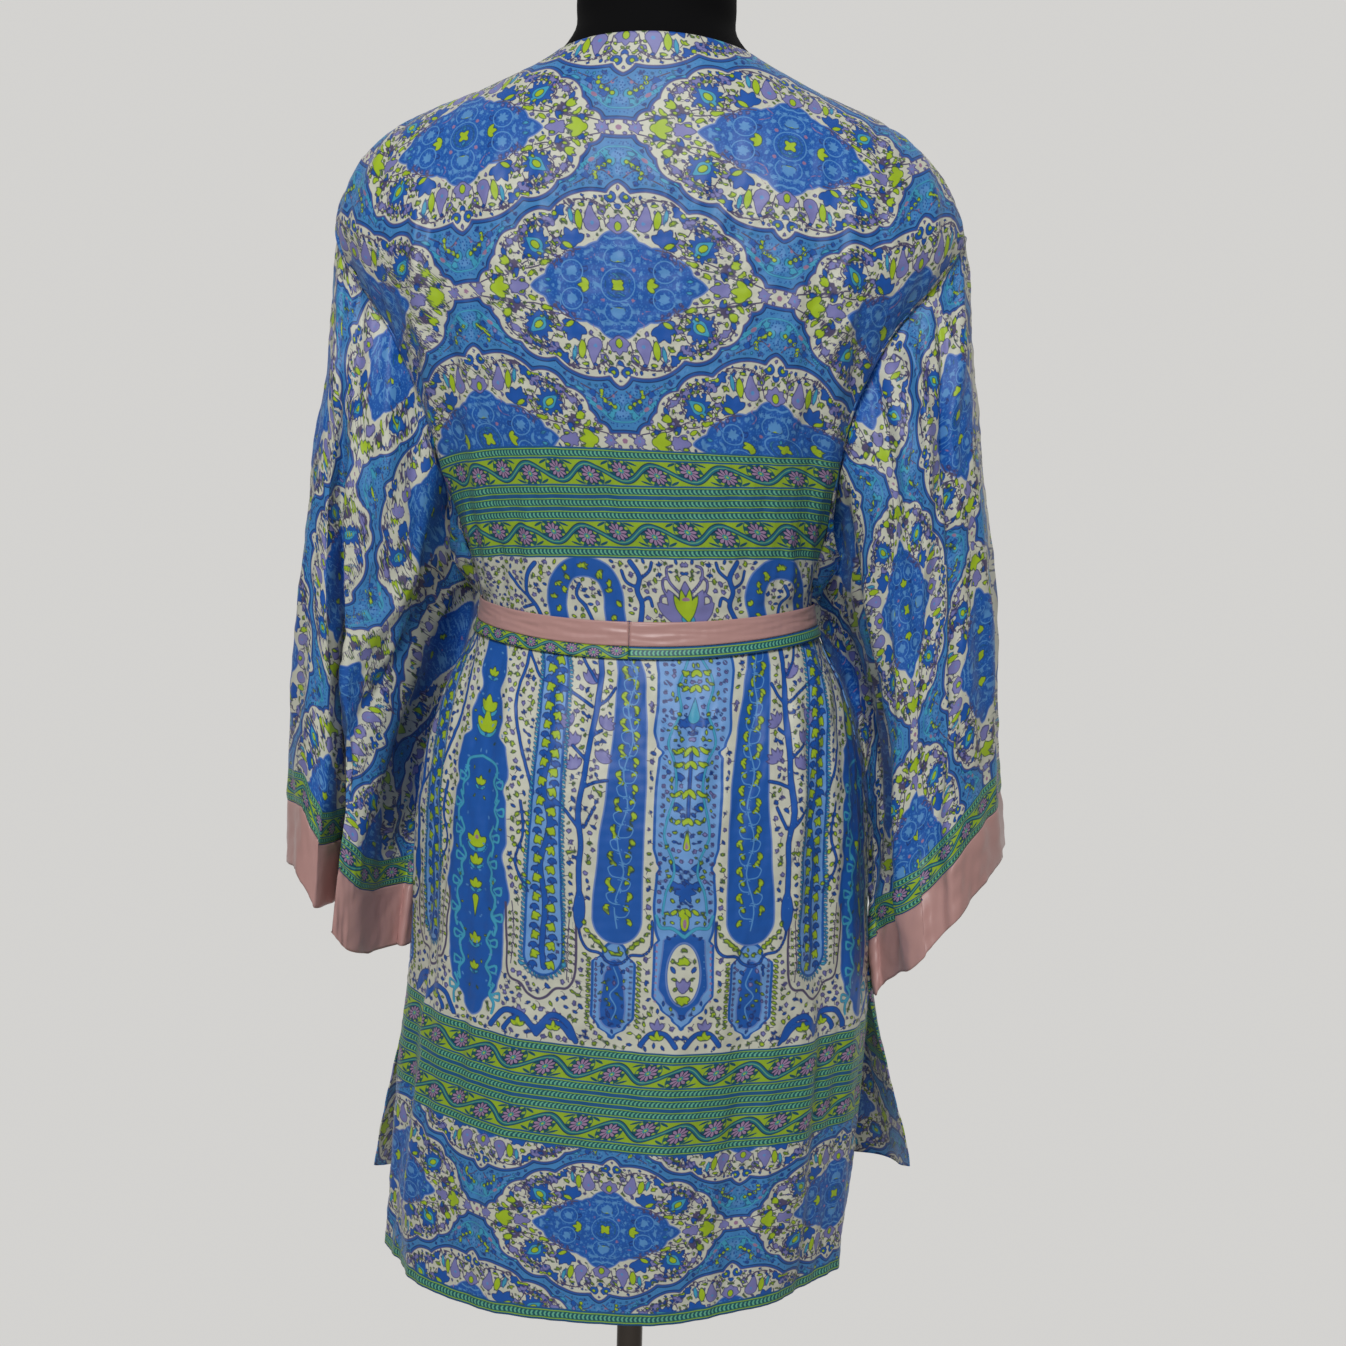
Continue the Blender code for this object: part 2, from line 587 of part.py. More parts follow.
def beside_body(loop, left, clear):
    """A sleeve's section, shifted out as a whole from where the body first needs room."""
    need = room_wanted(loop, left, clear)
    n = ARMHOLE_STEPS
    both = np.maximum(need[: n + 1], need[np.array([0, *range(2 * n - 1, n - 1, -1)])])
    both = np.maximum.accumulate(both)
    both = np.convolve(np.pad(both, 2, mode="edge"), (0.1, 0.2, 0.4, 0.2, 0.1), mode="valid").clip(both)
    shift = np.concatenate([both, both[-2:0:-1]])
    away = np.array([loop[n][0], loop[n][1], 0.0])
    return loop + shift[:, None] * away / np.linalg.norm(away)


def sleeve_loop(edges, folds, share, seam, seam_normals):
    """A sleeve's section at a share of its length, on the left."""
    back = hanging_side(edges, folds, share, "back")
    front = hanging_side(edges, folds, share, "front")
    hanging = np.concatenate([back, front[-2:0:-1]])
    free = min(share / 0.30, 1.0)
    free = free * (2.0 - free)
    around = np.sin(np.pi * np.arange(2 * ARMHOLE_STEPS) / ARMHOLE_STEPS) ** 2
    valley = ARMHOLE_VALLEY * ease(share / 0.05) * ease((0.16 - share) / 0.08) * around
    loop = seam * (1 - free) + hanging * free - seam_normals * valley[:, None]
    if share == 0.0:
        return loop
    low = np.clip(-np.cos(np.pi * np.arange(2 * ARMHOLE_STEPS) / ARMHOLE_STEPS), 0.0, 1.0) ** 4
    loop[:, 0] += UNDERARM_ARCH * low * ease(share / 0.06) * ease((0.40 - share) / 0.25)
    loop[:, 2] += UNDERARM_ARCH * low * ease(share / 0.025) * ease((0.09 - share) / 0.06)
    return beside_body(loop, edges["left"], SLEEVE_CLEAR * ease(share / 0.05))


def sleeve_grid(edge_table, folds, shares, left):
    """A sleeve's middle surface and its normals, a loop of points for each share."""
    edges = {name: smooth_curve(edge_table, i) for i, name in enumerate(SLEEVE_EDGE_COLUMNS)}
    edges["slant"] = LEFT_SLEEVE_SLANT if left else RIGHT_SLEEVE_SLANT
    edges["left"] = left
    seam, seam_normals = armhole_loop(left)
    middle = np.stack([sleeve_loop(edges, folds, share, seam, seam_normals) for share in shares])
    onward = unit(np.roll(middle, -1, axis=1) - middle)
    across = unit(onward + np.roll(onward, 1, axis=1))
    lengths = unit(np.diff(middle, axis=0))
    along = np.concatenate([lengths[:1], lengths[:-1] + lengths[1:], lengths[-1:]])
    normals = unit(np.cross(along, across))
    normals[0] = seam_normals
    # A wall keeps its thickness round a corner if its points move further out there.
    corner = np.sum(across * onward, axis=-1, keepdims=True)
    normals /= np.clip(corner, 0.6, 1.0)
    gap = sleeve_loop(edges, folds, 1.0 + GAP / 0.45, seam, seam_normals)
    return middle, normals, gap


def mirrored(points):
    return points * np.array([-1.0, 1.0, 1.0])


def sleeves():
    shares = (*SLEEVE_SHARES, 1.0 + CUFF_SHARE / 2, 1.0 + CUFF_SHARE)
    end = len(SLEEVE_SHARES)
    for side, table, folds in (
        ("left", LEFT_SLEEVE_EDGES, LEFT_SLEEVE_FOLDS),
        ("right", RIGHT_SLEEVE_EDGES, RIGHT_SLEEVE_FOLDS),
    ):
        middle, normals, cuff_top = sleeve_grid(table, folds, shares, side == "left")
        cuff = np.concatenate([cuff_top[None], middle[end:]])
        if side == "right":
            middle, normals, cuff = mirrored(middle), mirrored(normals), mirrored(cuff)
        half, cuff_half = normals[:end] * CLOTH / 2, normals[end - 1 :] * CLOTH / 2
        sleeve = middle[:end]
        wall(f"{side}_sleeve", sleeve + half, sleeve - half, "printed_silk", tube=True)
        wall(f"{side}_cuff", cuff + cuff_half, cuff - cuff_half, "mauve_satin", tube=True)


# The dress form and its stand

def form_ring(row):
    values = dict(zip(FORM_COLUMNS, row))
    angle = np.arange(FORM_COLUMNS_ROUND) * 360.0 / FORM_COLUMNS_ROUND
    s = np.sin(np.radians(angle))
    depth = np.where(s > 0, values["back_y"], values["front_y"])
    middle_z = np.where(s > 0, values["back_z"], values["front_z"])
    x, y = section(angle, values["width"], depth)
    return np.stack([x, y, values["side_z"] + (middle_z - values["side_z"]) * s**2], axis=-1)


def form_shoulder(down):
    """A ring of the form that follows the robe's, just under it along the shoulder."""
    angle = np.arange(FORM_COLUMNS_ROUND) * 360.0 / FORM_COLUMNS_ROUND
    ring = plain_surface(angle, np.full(len(angle), down))
    ring -= normal_of(plain_surface, angle, np.full(len(angle), down)) * FORM_CLEARANCE
    return ring * np.array([1.0, 0.95, 1.0])


def dress_form():
    neck = [form_ring(row) for row in FORM_NECK]
    shoulder = [form_shoulder(down) for down in FORM_TOP_ROWS]
    torso = [form_ring(row) for row in FORM_TORSO]
    bm = bmesh.new()
    verts = [[bm.verts.new(p) for p in ring] for ring in neck + shoulder + torso]
    for i in range(len(verts) - 1):
        for j in range(FORM_COLUMNS_ROUND):
            k = (j + 1) % FORM_COLUMNS_ROUND
            bm.faces.new((verts[i][j], verts[i + 1][j], verts[i + 1][k], verts[i][k]))
    bm.faces.new(verts[0])
    bm.faces.new(verts[-1][::-1])
    add_object("dress_form", bm, "form_jersey")


def disc(name, radius, low, high, segments, edge, material_name):
    """An upright cylinder, with its rims rounded if edge is over 0."""
    bm = bmesh.new()
    bmesh.ops.create_cone(
        bm, cap_ends=True, segments=segments, radius1=radius, radius2=radius, depth=high - low
    )
    if edge:
        rim = [e for e in bm.edges if e.verts[0].co.z > 0 and e.verts[1].co.z > 0]
        bmesh.ops.bevel(bm, geom=rim, offset=edge, segments=3, affect="EDGES", profile=0.5)
    bmesh.ops.translate(bm, verts=bm.verts, vec=(0.0, 0.0, (low + high) / 2))
    add_object(name, bm, material_name)


def stand():
    disc("stand_base", BASE_RADIUS, 0.0, BASE_THICK, 48, 0.004, "base_metal")
    disc("stand_pole", POLE_RADIUS, BASE_THICK + GAP, FORM_BOTTOM - GAP, 24, 0.0, "pole_metal")


def clear_scene():
    for obj in list(bpy.data.objects):
        bpy.data.objects.remove(obj)


def main():
    clear_scene()
    back_panel()
    front_panel("left_front", True)
    front_panel("right_front", False)
    for side, left in (("left", True), ("right", False)):
        belt_half(f"belt_{side}", left, BELT_TOP, BELT_HEIGHT, "mauve_satin")
        trim_top = BELT_TOP + BELT_HEIGHT + GAP
        belt_half(f"belt_trim_{side}", left, trim_top, TRIM_HEIGHT, "border_silk")
    knot()
    belt_tail("belt_tail_left", 1)
    belt_tail("belt_tail_right", -1)
    sleeves()
    dress_form()
    stand()


main()
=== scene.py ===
"""The looks of a short printed kimono robe, worn by a limbless dress form on a pole stand.

The robe's cloth is rebuilt finely on the same middle surface that the solids were made from,
with soft creases laid on it, and printed by fields of distance to drawn shapes.
"""

import math

import bpy
import numpy as np
from mathutils import Matrix, Vector


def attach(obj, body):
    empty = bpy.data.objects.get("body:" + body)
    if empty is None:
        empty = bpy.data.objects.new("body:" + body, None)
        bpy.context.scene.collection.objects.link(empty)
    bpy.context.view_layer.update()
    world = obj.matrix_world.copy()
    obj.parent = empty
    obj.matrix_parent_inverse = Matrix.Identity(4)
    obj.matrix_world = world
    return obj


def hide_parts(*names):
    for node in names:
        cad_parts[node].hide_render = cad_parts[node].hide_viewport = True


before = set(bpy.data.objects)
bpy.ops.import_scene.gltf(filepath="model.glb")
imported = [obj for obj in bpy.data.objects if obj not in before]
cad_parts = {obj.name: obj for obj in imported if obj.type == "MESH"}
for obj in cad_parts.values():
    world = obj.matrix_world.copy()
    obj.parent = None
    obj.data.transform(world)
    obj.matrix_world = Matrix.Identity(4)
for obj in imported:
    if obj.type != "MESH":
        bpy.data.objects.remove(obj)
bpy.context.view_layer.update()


def read_rows(text, unit="e-3"):
    """Rows of numbers from lines of text, in thousandths as a rule; # starts a remark."""
    lines = (line.split("#")[0].split() for line in text.splitlines())
    return tuple(tuple(float(word + unit) for word in words) for words in lines if words)


# Driving sizes and tables, as the solids have them

CLOTH = 0.0012  # thickness of a cloth wall
GAP = 0.0003  # what is left open at a seam
SEAM_ANGLE = 0.08  # half of a shoulder or side seam's gap, in degrees round the body
ROUNDNESS = 2.2  # exponent of the body's sections: 2 is an ellipse, more is squarer

NECKLINE_Z = 1.40
SHOULDER_DROP = 0.197  # down from the neckline, along the shoulder, to the sleeve's top
UNDERARM = 0.375
ARMHOLE_OPENING = 30.0  # degrees from the side to the armhole seam, at its widest
SLIT_TOP = 0.70
HEM_BACK = 0.885
HEM_FRONT = 0.852
BACK_SLIT, FRONT_SLIT = 16.0, 9.0  # how far each free edge draws back at the hem, in degrees
HEM_CORNER = 0.008  # how much a front's hem rises towards its corner at the slit
OVERLAP_LIFT = 0.0030  # the left front lies this far outside the right one
ARMHOLE_VALLEY = 0.010  # how deep the sleeve dips beside its seam
BACK_VALLEY = 0.021  # the same behind, where the scene's sleeves dip deeper than the solids'
UNDERARM_ARCH = 0.006  # how far the sleeve rises and stands off before it turns down
LEFT_INWARD, RIGHT_INWARD = 0.011, 0.031  # how far each sleeve hangs in beside the waist
SLEEVE_CLEAR = 0.0035  # the sleeve's middle surface stays this far outside the body's

BELT_TOP = 0.409
BELT_HEIGHT = 0.0175
TRIM_HEIGHT = 0.0088
BELT_THICK = 0.0014
BELT_CLEAR = 0.0007  # the belt's distance from the cloth that it lies on
TAIL_LENGTH = 0.30
RIGHT_TAIL_SHARE = 0.92  # the right end's length as a share of the left one's
TAIL_START = 0.0285  # how far below the belt's top the ends begin, under the knot
WAIST_RADIUS = 0.125
BELT_MEET = 0.05  # half of the gap at the centre of the back, in degrees round the body
BELT_END = -83.6  # where the left half ends, under the knot
KNOT_HALF = (0.016, 0.0085, 0.0145)

CUFF_SHARE = 0.10  # the cuff band's length, as a share of the sleeve's

POLE_RADIUS = 0.0095
BASE_RADIUS = 0.17
BASE_THICK = 0.010
FORM_BOTTOM = 0.77

# Section tables. Each row is one ring round the body, from the neckline to the hem.
# down: cut length from the neckline. side_z: height at the side. The rest are half widths,
# depths from the body's axis and heights at the centre of the back and of the front.

RING_COLUMNS = (
    "down", "back_width", "front_width", "side_z", "back_y", "back_z", "front_y", "front_z",
)
RINGS = read_rows("""
-20 60 60 1388 59 1408 56 1392
0 74 74 1379 64 1390 60 1370
50 120 120 1357 80 1344 78 1331
100 164 164 1338 94 1297 96 1288
145 200 200 1312 101 1253 107 1246
172 215.5 215.5 1289 103.5 1227 111 1221
197 223.5 223.5 1264 105 1203 114 1197
260 190 190 1190 105 1140 115 1136
320 156 156 1108 98 1080 106 1076
375 126 126 1030 91.5 1024 96 1022
420 119 119 990 89 979 92.5 984
445 127.5 127.5 967 97 955 99 960
470 140 140 944 106.5 931 106 937
510 153 153 903 120 893 115 898
550 160 160 863 129 853 122 858
610 163 163 803 135 793 129 798
670 165.5 165.5 743 139 733 134 738
700 167.5 167.5 714 141.5 703 137 708
760 169 180 654 147.5 643 142 648
820 169 196 596 153.5 584 147 590
885 168 212 532 160 519 152 526
""")

# How the robe hangs a little askew: how far the back and the front are moved to the left,
# and how much higher their left side is for each metre of width.
ASKEW_COLUMNS = ("down", "back_shift", "front_shift", "back_lean", "front_lean")
ASKEW = read_rows("""
-20 0 0 -20 -20
0 0 0 -10 -10
50 1 1 10 10
100 2 2 14 14
150 3 3 20 20
197 4 4 14 14
300 2 2 0 0
420 -2 -2 0 0
550 -2 -2 0 0
700 -2 -2 -15 -15
800 4 -1 -20 -38
885 9 1 -14 -78
""")

# Where the left front's free edge runs, in degrees round the body. The right front mirrors it.
FRONT_EDGE = read_rows("""
# down, angle
0 -6
0.012 -24
0.03 -46
0.05 -61
0.1 -75.7
0.145 -82.6
0.197 -87.4
0.26 -91.8
0.32 -99
0.375 -110.9
0.42 -119.3
0.47 -113.5
0.55 -109
0.67 -107
0.79 -104.5
0.885 -102
""", "")

# Soft folds of the robe's body: where each one lies, how wide it is, where it starts and
# reaches its full height, how far it stands out, and how far its foot wanders sideways.
BODY_FOLDS = read_rows("""
# angle, spread, start, full, height, drift
14 6 0.44 0.6 0.003 4
33 6 0.46 0.66 -0.0035 -3
52 8 0.44 0.7 0.004 -4
78 7 0.5 0.8 -0.0025 3
104 9 0.46 0.72 0.0035 2
127 6 0.43 0.6 0.003 5
141 5 0.43 0.62 -0.003 4
158 7 0.45 0.66 0.004 2
-24 7 0.44 0.64 0.0045 -4
-43 6 0.45 0.66 -0.004 -2
-63 9 0.44 0.7 0.0045 2
-90 12 0.46 0.74 -0.002 2
204 7 0.44 0.64 0.0045 4
222 6 0.45 0.66 -0.004 2
240 9 0.44 0.7 0.0045 -2
""", "")

# The sleeves' two long edges, by share of the sleeve from the armhole to the cuff's seam, and
# on to the cuff's end: the outer one hangs from the shoulder, the inner one from the underarm.
SLEEVE_EDGE_COLUMNS = ("share", "outer_x", "outer_y", "outer_z", "inner_x", "inner_y", "inner_z")
LEFT_SLEEVE_EDGES = read_rows("""
0 226.5 0 1264 126 0 1029
100 229 2 1220 124 -14 998
250 233.5 4 1155 126 -48 960
400 243 4 1087 135 -64 918
600 250.5 2 1000 147 -63 868
800 255 0 916 157 -50 822
1000 256 0 850 164 -32 784
1100 258 0 806 167 -20 740
""")
RIGHT_SLEEVE_EDGES = read_rows("""
0 219.5 0 1261 126 0 1029
100 225 2 1222 124 -14 996
250 231 4 1160 126 -50 955
400 240.5 4 1096 134 -68 908
600 250.5 2 1008 147 -66 848
800 255.5 0 921 157 -50 796
1000 260 0 870 163 -28 757
1100 264 0 832 167 -12 721
""")

# How deep each sleeve is filled out, front and back, by share of its length.
SLEEVE_DEPTH = read_rows("""
# share, back, front
0 55 55
150 75 60
400 92 56
800 98 56
1100 98 58
""")

# Across the sleeve, its hem stays level up to the first share and is fully down at the second.
LEFT_SLEEVE_SLANT = (0.25, 0.74)
RIGHT_SLEEVE_SLANT = (0.00, 0.96)

# The sleeves' long folds: which side they lie on, where across the side they begin and end
# (0 is the outer edge), how wide they are, where they start, and how deep they get.
SLEEVE_FOLD_COLUMNS = ("side", "at_top", "at_cuff", "spread", "start", "deep")
LEFT_SLEEVE_FOLDS = (
    ("back", 0.22, 0.50, 0.042, 0.14, 0.066),
    ("back", 0.81, 0.82, 0.105, -0.50, 0.080),
    ("front", 0.40, 0.50, 0.070, 0.20, 0.028),
    ("front", 0.70, 0.80, 0.060, 0.45, 0.010),
)
RIGHT_SLEEVE_FOLDS = (
    ("back", 0.30, 0.46, 0.075, 0.05, 0.008),
    ("back", 0.80, 0.82, 0.115, -0.50, 0.080),
    ("front", 0.40, 0.46, 0.070, 0.20, 0.028),
    ("front", 0.72, 0.80, 0.060, 0.45, 0.010),
)

# The dress form below its shoulders, which follow the robe's.
FORM_COLUMNS = ("width", "side_z", "back_y", "back_z", "front_y", "front_z")
FORM_NECK = read_rows("""
12 1456 12 1456 12 1456
40 1453.5 40 1453.5 40 1453.5
53 1445 53 1445 53 1445
55.5 1433 55.5 1433 55.5 1433
56 1415 55 1425 55 1410
57 1397 56 1408 56 1390
""")
FORM_TORSO = read_rows("""
188 1312 93 1260 98 1254
187.5 1290 95 1240 101 1235
183 1250 97 1210 104 1205
170 1195 97.5 1170 106 1165
152 1140 96 1125 104 1122
137 1090 91 1082 98 1080
122 1040 85.5 1035 89 1034
112 990 81.5 980 84 984
117 960 86 950 88 954
133 915 101 905 98 910
146 865 115 858 106 860
150 820 119 815 108 817
149 775 118 775 107 775
""") + ((0.1440, FORM_BOTTOM, 0.1130, FORM_BOTTOM, 0.1020, FORM_BOTTOM),)
FORM_CLEARANCE = 0.0013  # how far the form's shoulders lie under the robe's middle surface

FORM_ANGLES = np.arange(128) * 360.0 / 128
FORM_TOP_ROWS = (0.0, 0.03, 0.06, 0.09, 0.12)

# How finely each piece is divided
FRONT_COLUMNS = 12
FINER = 10  # steps here for each of the solids' steps round a sleeve
ARMHOLE_STEPS = 16 * FINER

# Curves through the tables

def smooth_curve(rows, column):
    """A function through one column of rows, over their first column, straight past its ends."""
    knots, values = (np.array([row[i] for row in rows], float) for i in (0, column))
    slopes = np.gradient(values, knots)

    def at(x):
        inside = np.clip(x, knots[0], knots[-1])
        i = np.clip(np.searchsorted(knots, inside, side="right") - 1, 0, len(knots) - 2)
        span = knots[i + 1] - knots[i]
        t = (inside - knots[i]) / span
        rise = values[i + 1] - values[i]
        bend = (t**3 - 2 * t**2 + t) * slopes[i] + (t**3 - t**2) * slopes[i + 1]
        beyond = (x - inside) * np.where(x > inside, slopes[-1], slopes[0])
        return values[i] + rise * (3 * t**2 - 2 * t**3) + span * bend + beyond

    return at


def unit(vectors):
    return vectors / np.linalg.norm(vectors, axis=-1, keepdims=True)


def ease(t):
    t = np.clip(t, 0.0, 1.0)
    return t * t * (3 - 2 * t)


def curves_of(rows, names):
    return {name: smooth_curve(rows, i) for i, name in enumerate(names)}


RING = curves_of(RINGS, RING_COLUMNS)
HANG = curves_of(ASKEW, ASKEW_COLUMNS)
front_edge_left = smooth_curve(FRONT_EDGE, 1)


# The robe's middle surface

def section(angle, width, depth):
    """x and y of a squarish oval at an angle in degrees, 0 at +X and 90 at +Y."""
    c, s = np.cos(np.radians(angle)), np.sin(np.radians(angle))
    power = 2.0 / ROUNDNESS
    return width * np.sign(c) * np.abs(c) ** power, depth * np.sign(s) * np.abs(s) ** power


def halves(curves, name, behind, down):
    """The back's value of a curve behind the body's sides, and the front's before them."""
    return np.where(behind, curves["back_" + name](down), curves["front_" + name](down))


def plain_surface(angle, down):
    """The middle surface without its folds."""
    s = np.sin(np.radians(angle))
    behind = s > 0
    width, depth, middle_z = (halves(RING, name, behind, down) for name in ("width", "y", "z"))
    side_z = RING["side_z"](down)
    x, y = section(angle, width, depth)
    z = side_z + (middle_z - side_z) * s**2 + x * halves(HANG, "lean", behind, down)
    return np.stack([x + halves(HANG, "shift", behind, down), y, z], axis=-1)


def normal_of(surface, angle, down, da=0.4, dd=0.002):
    """Unit vectors that point out of a surface of angle and down."""
    across = surface(angle + da, down) - surface(angle - da, down)
    along = surface(angle, down + dd) - surface(angle, down - dd)
    return unit(np.cross(along, across))


def fold_height(angle, down):
    total = np.zeros(np.broadcast(angle, down).shape)
    for at, spread, start, full, height, drift in BODY_FOLDS:
        reach = ease((down - start) / (full - start))
        apart = (angle - at - drift * reach + 180.0) % 360.0 - 180.0
        total = total + height * reach * np.exp(-((apart / spread) ** 2))
    return total


def robe_surface(angle, down):
    """The middle surface with its folds, for arrays of angles and distances down."""
    angle, down = np.broadcast_arrays(np.asarray(angle, float), np.asarray(down, float))
    base = plain_surface(angle, down)
    return base + normal_of(plain_surface, angle, down) * fold_height(angle, down)[..., None]


def lifted(angle, down, lift):
    """Points that lie a lift outside the middle surface."""
    angle, down = np.broadcast_arrays(np.asarray(angle, float), np.asarray(down, float))
    lift = np.broadcast_to(np.asarray(lift, float), angle.shape)
    return robe_surface(angle, down) + normal_of(robe_surface, angle, down) * lift[..., None]


def armhole_angle(down):
    """Degrees from the side to the armhole seam."""
    q = np.clip((down - SHOULDER_DROP) / (UNDERARM - SHOULDER_DROP), 0.0, 1.0)
    return ARMHOLE_OPENING * np.sin(np.pi * q) ** 0.8


def armhole_downs():
    """Distances down at the armhole seam's points, close together at its two ends."""
    t = np.arange(ARMHOLE_STEPS + 1) / ARMHOLE_STEPS
    return SHOULDER_DROP + (UNDERARM - SHOULDER_DROP) * (1 - np.cos(np.pi * t)) / 2


def side_angle(down, slit_spread):
    """Where a panel ends at the side: at the seam, the armhole, or the slit's free edge."""
    slit = slit_spread * ease((down - SLIT_TOP) / (HEM_BACK - SLIT_TOP))
    return SEAM_ANGLE + armhole_angle(down) + slit


def left_front_lift(angle, down):
    """The left front lies on the right one where the two overlap."""
    return OVERLAP_LIFT * ease((-angle - 20.0) / 30.0) * ease((down - 0.08) / 0.08)


def blend_columns(first, last, count):
    """Rows of evenly spaced values from first to last, which hold one value for each row."""
    t = np.linspace(0.0, 1.0, count + 1)
    return first[:, None] * (1 - t) + last[:, None] * t


# Finely divided cloth

UNDER_BELT = 0.4225  # where the back's two finely divided stretches meet, under the belt
BACK_GRID = (281, 346, 308, 318)
FRONT_GRID = (350, 122)
SLEEVE_ROWS = 208
CUFF_ROWS = 24
CLOTH_RIM = 0.0009  # thickness shown at a cloth's edges
BELT_THICKNESS = 0.0010


def spread(knots, count):
    """Knots, with the same number of even steps put between each pair of them."""
    knots = np.asarray(knots, float)
    at = np.linspace(0, len(knots) - 1, count)
    return np.interp(at, np.arange(len(knots)), knots)


def creases_height(table, x, d):
    """How far creases lift the cloth at points x across and d down, on its flat cut."""
    total = np.zeros(np.broadcast(x, d).shape)
    for x0, d0, x1, d1, bow, width, height in table:
        length = math.hypot(x1 - x0, d1 - d0)
        ux, ud = (x1 - x0) / length, (d1 - d0) / length
        along = ((x - x0) * ux + (d - d0) * ud) / length
        aside = (d - d0) * ux - (x - x0) * ud - bow * np.sin(np.pi * np.clip(along, 0, 1))
        ends = ease((along + 0.12) / 0.30) * ease((1.12 - along) / 0.34)
        wide = width * (0.55 + 0.45 * ease(along / 0.6))
        total = total + height * ends * np.exp(-((aside / wide) ** 2))
    return total


def ripple(x, d, seed, across, down, height):
    """Soft uneven waves of a woven cloth, longer one way than the other."""
    rng = np.random.default_rng(seed)
    total = np.zeros(np.broadcast(x, d).shape)
    for _ in range(14):
        kx = rng.normal() * 2 * np.pi / across
        kd = rng.normal() * 2 * np.pi / down
        total = total + np.sin(kx * x + kd * d + rng.uniform(0, 6.28))
    return total * height / 3.7


def arc_from(points, start):
    """Length along each row of points, counted from a column."""
    step = np.linalg.norm(np.diff(points, axis=1), axis=-1)
    run = np.concatenate([np.zeros((len(points), 1)), np.cumsum(step, axis=1)], axis=1)
    return run - run[:, start : start + 1]


def grid_normals(points):
    """Unit normals of a grid of points."""
    return unit(np.cross(*np.gradient(points, axis=(0, 1))))


def placed_object(name, data):
    made = bpy.data.objects.new(name, data)
    bpy.context.scene.collection.objects.link(made)
    return made


def grid_object(name, points, flat, outward, thick=CLOTH_RIM, rim_only=True, fields=None):
    """A piece from a grid of points, with its flat cut as UVs and its print as attributes."""
    rows, columns = points.shape[:2]
    corner = np.arange(rows * columns).reshape(rows, columns)
    quads = np.stack([corner[:-1, :-1], corner[1:, :-1], corner[1:, 1:], corner[:-1, 1:]], axis=-1)
    quads = quads.reshape(-1, 4)
    a, b, c = points.reshape(-1, 3)[quads[len(quads) // 2][:3]]
    if np.dot(np.cross(b - a, c - a), outward(a)) < 0:
        quads = quads[:, ::-1]
    mesh = bpy.data.meshes.new(name)
    mesh.vertices.add(rows * columns)
    mesh.vertices.foreach_set("co", points.reshape(-1).astype(np.float32))
    mesh.loops.add(quads.size)
    mesh.loops.foreach_set("vertex_index", quads.reshape(-1).astype(np.int32))
    mesh.polygons.add(len(quads))
    mesh.polygons.foreach_set("loop_start", np.arange(0, quads.size, 4, dtype=np.int32))
    mesh.polygons.foreach_set("loop_total", np.full(len(quads), 4, dtype=np.int32))
    mesh.update(calc_edges=True)
    uv = mesh.uv_layers.new(name="flat")
    uv.data.foreach_set("uv", flat.reshape(-1, 2)[quads.reshape(-1)].reshape(-1).astype(np.float32))
    for key, values in (fields or {}).items():
        kept = mesh.attributes.new(key, "FLOAT_VECTOR", "POINT")
        kept.data.foreach_set("vector", values.reshape(-1).astype(np.float32))
    mesh.validate()
    mesh.shade_smooth()
    obj = placed_object(name, mesh)
    if thick:
        shell = obj.modifiers.new("edge thickness", "SOLIDIFY")
        shell.thickness = thick
        shell.offset = -1.0
        shell.use_rim_only = rim_only
    return obj


def away_from_axis(p):
    return np.array([p[0], p[1], 0.0])


# The body's panels

# Creases, placed on each flat cut: from (across, down) to (across, down), how far they bow
# aside, how wide they are and how high; troughs are negative.
BACK_CREASES = read_rows("""
# Folds that hang from the armholes
158 150 150 335 6 11 4.2
136 190 128 360 4 10 -1.6
112 230 116 395 -3 13 2.2
-160 140 -150 330 -6 10 3.6
-137 210 -126 380 -5 11 -1.6
-104 250 -110 400 4 12 2
168 225 120 290 4 8 2.2
-166 215 -112 300 -5 8 2
# Gathers above the belt
132 345 128 412 2 7 2.6
98 362 101 414 0 6 -1.6
71 338 74 413 2 8 2.2
36 368 33 414 0 6 1.5
-6 350 -2 412 1 7 -1.3
-44 358 -47 414 0 7 2.1
-82 366 -79 413 1 6 -1.5
-113 348 -117 412 2 7 2.7
# Gathers below it
140 462 150 560 3 8 2.8
112 460 118 530 2 6 -2
86 461 89 600 4 9 2.4
52 460 56 515 0 6 -1.6
22 462 19 560 3 8 1.8
-20 460 -24 530 2 6 -1.5
-52 461 -50 590 3 8 2.2
-89 460 -94 520 0 7 -1.9
-118 462 -128 570 4 9 3
-146 470 -156 600 3 7 -1.8
# The skirt's long soft folds
156 670 168 885 4 14 4.5
108 600 120 885 -5 17 -3.2
66 640 70 885 4 20 3.4
18 660 10 885 3 18 -2.4
-36 620 -40 885 -4 21 3.4
-90 650 -100 885 4 17 -3
-144 670 -154 885 -4 15 4.6
-176 700 -190 885 3 12 -2.8
186 720 200 880 3 12 -3
# Across the seat and under the shoulders, very soft
120 690 -30 668 -10 12 1.1
-150 640 -10 655 8 12 1
90 120 150 190 6 12 1.6
-92 110 -152 185 -6 11 1.5
""")
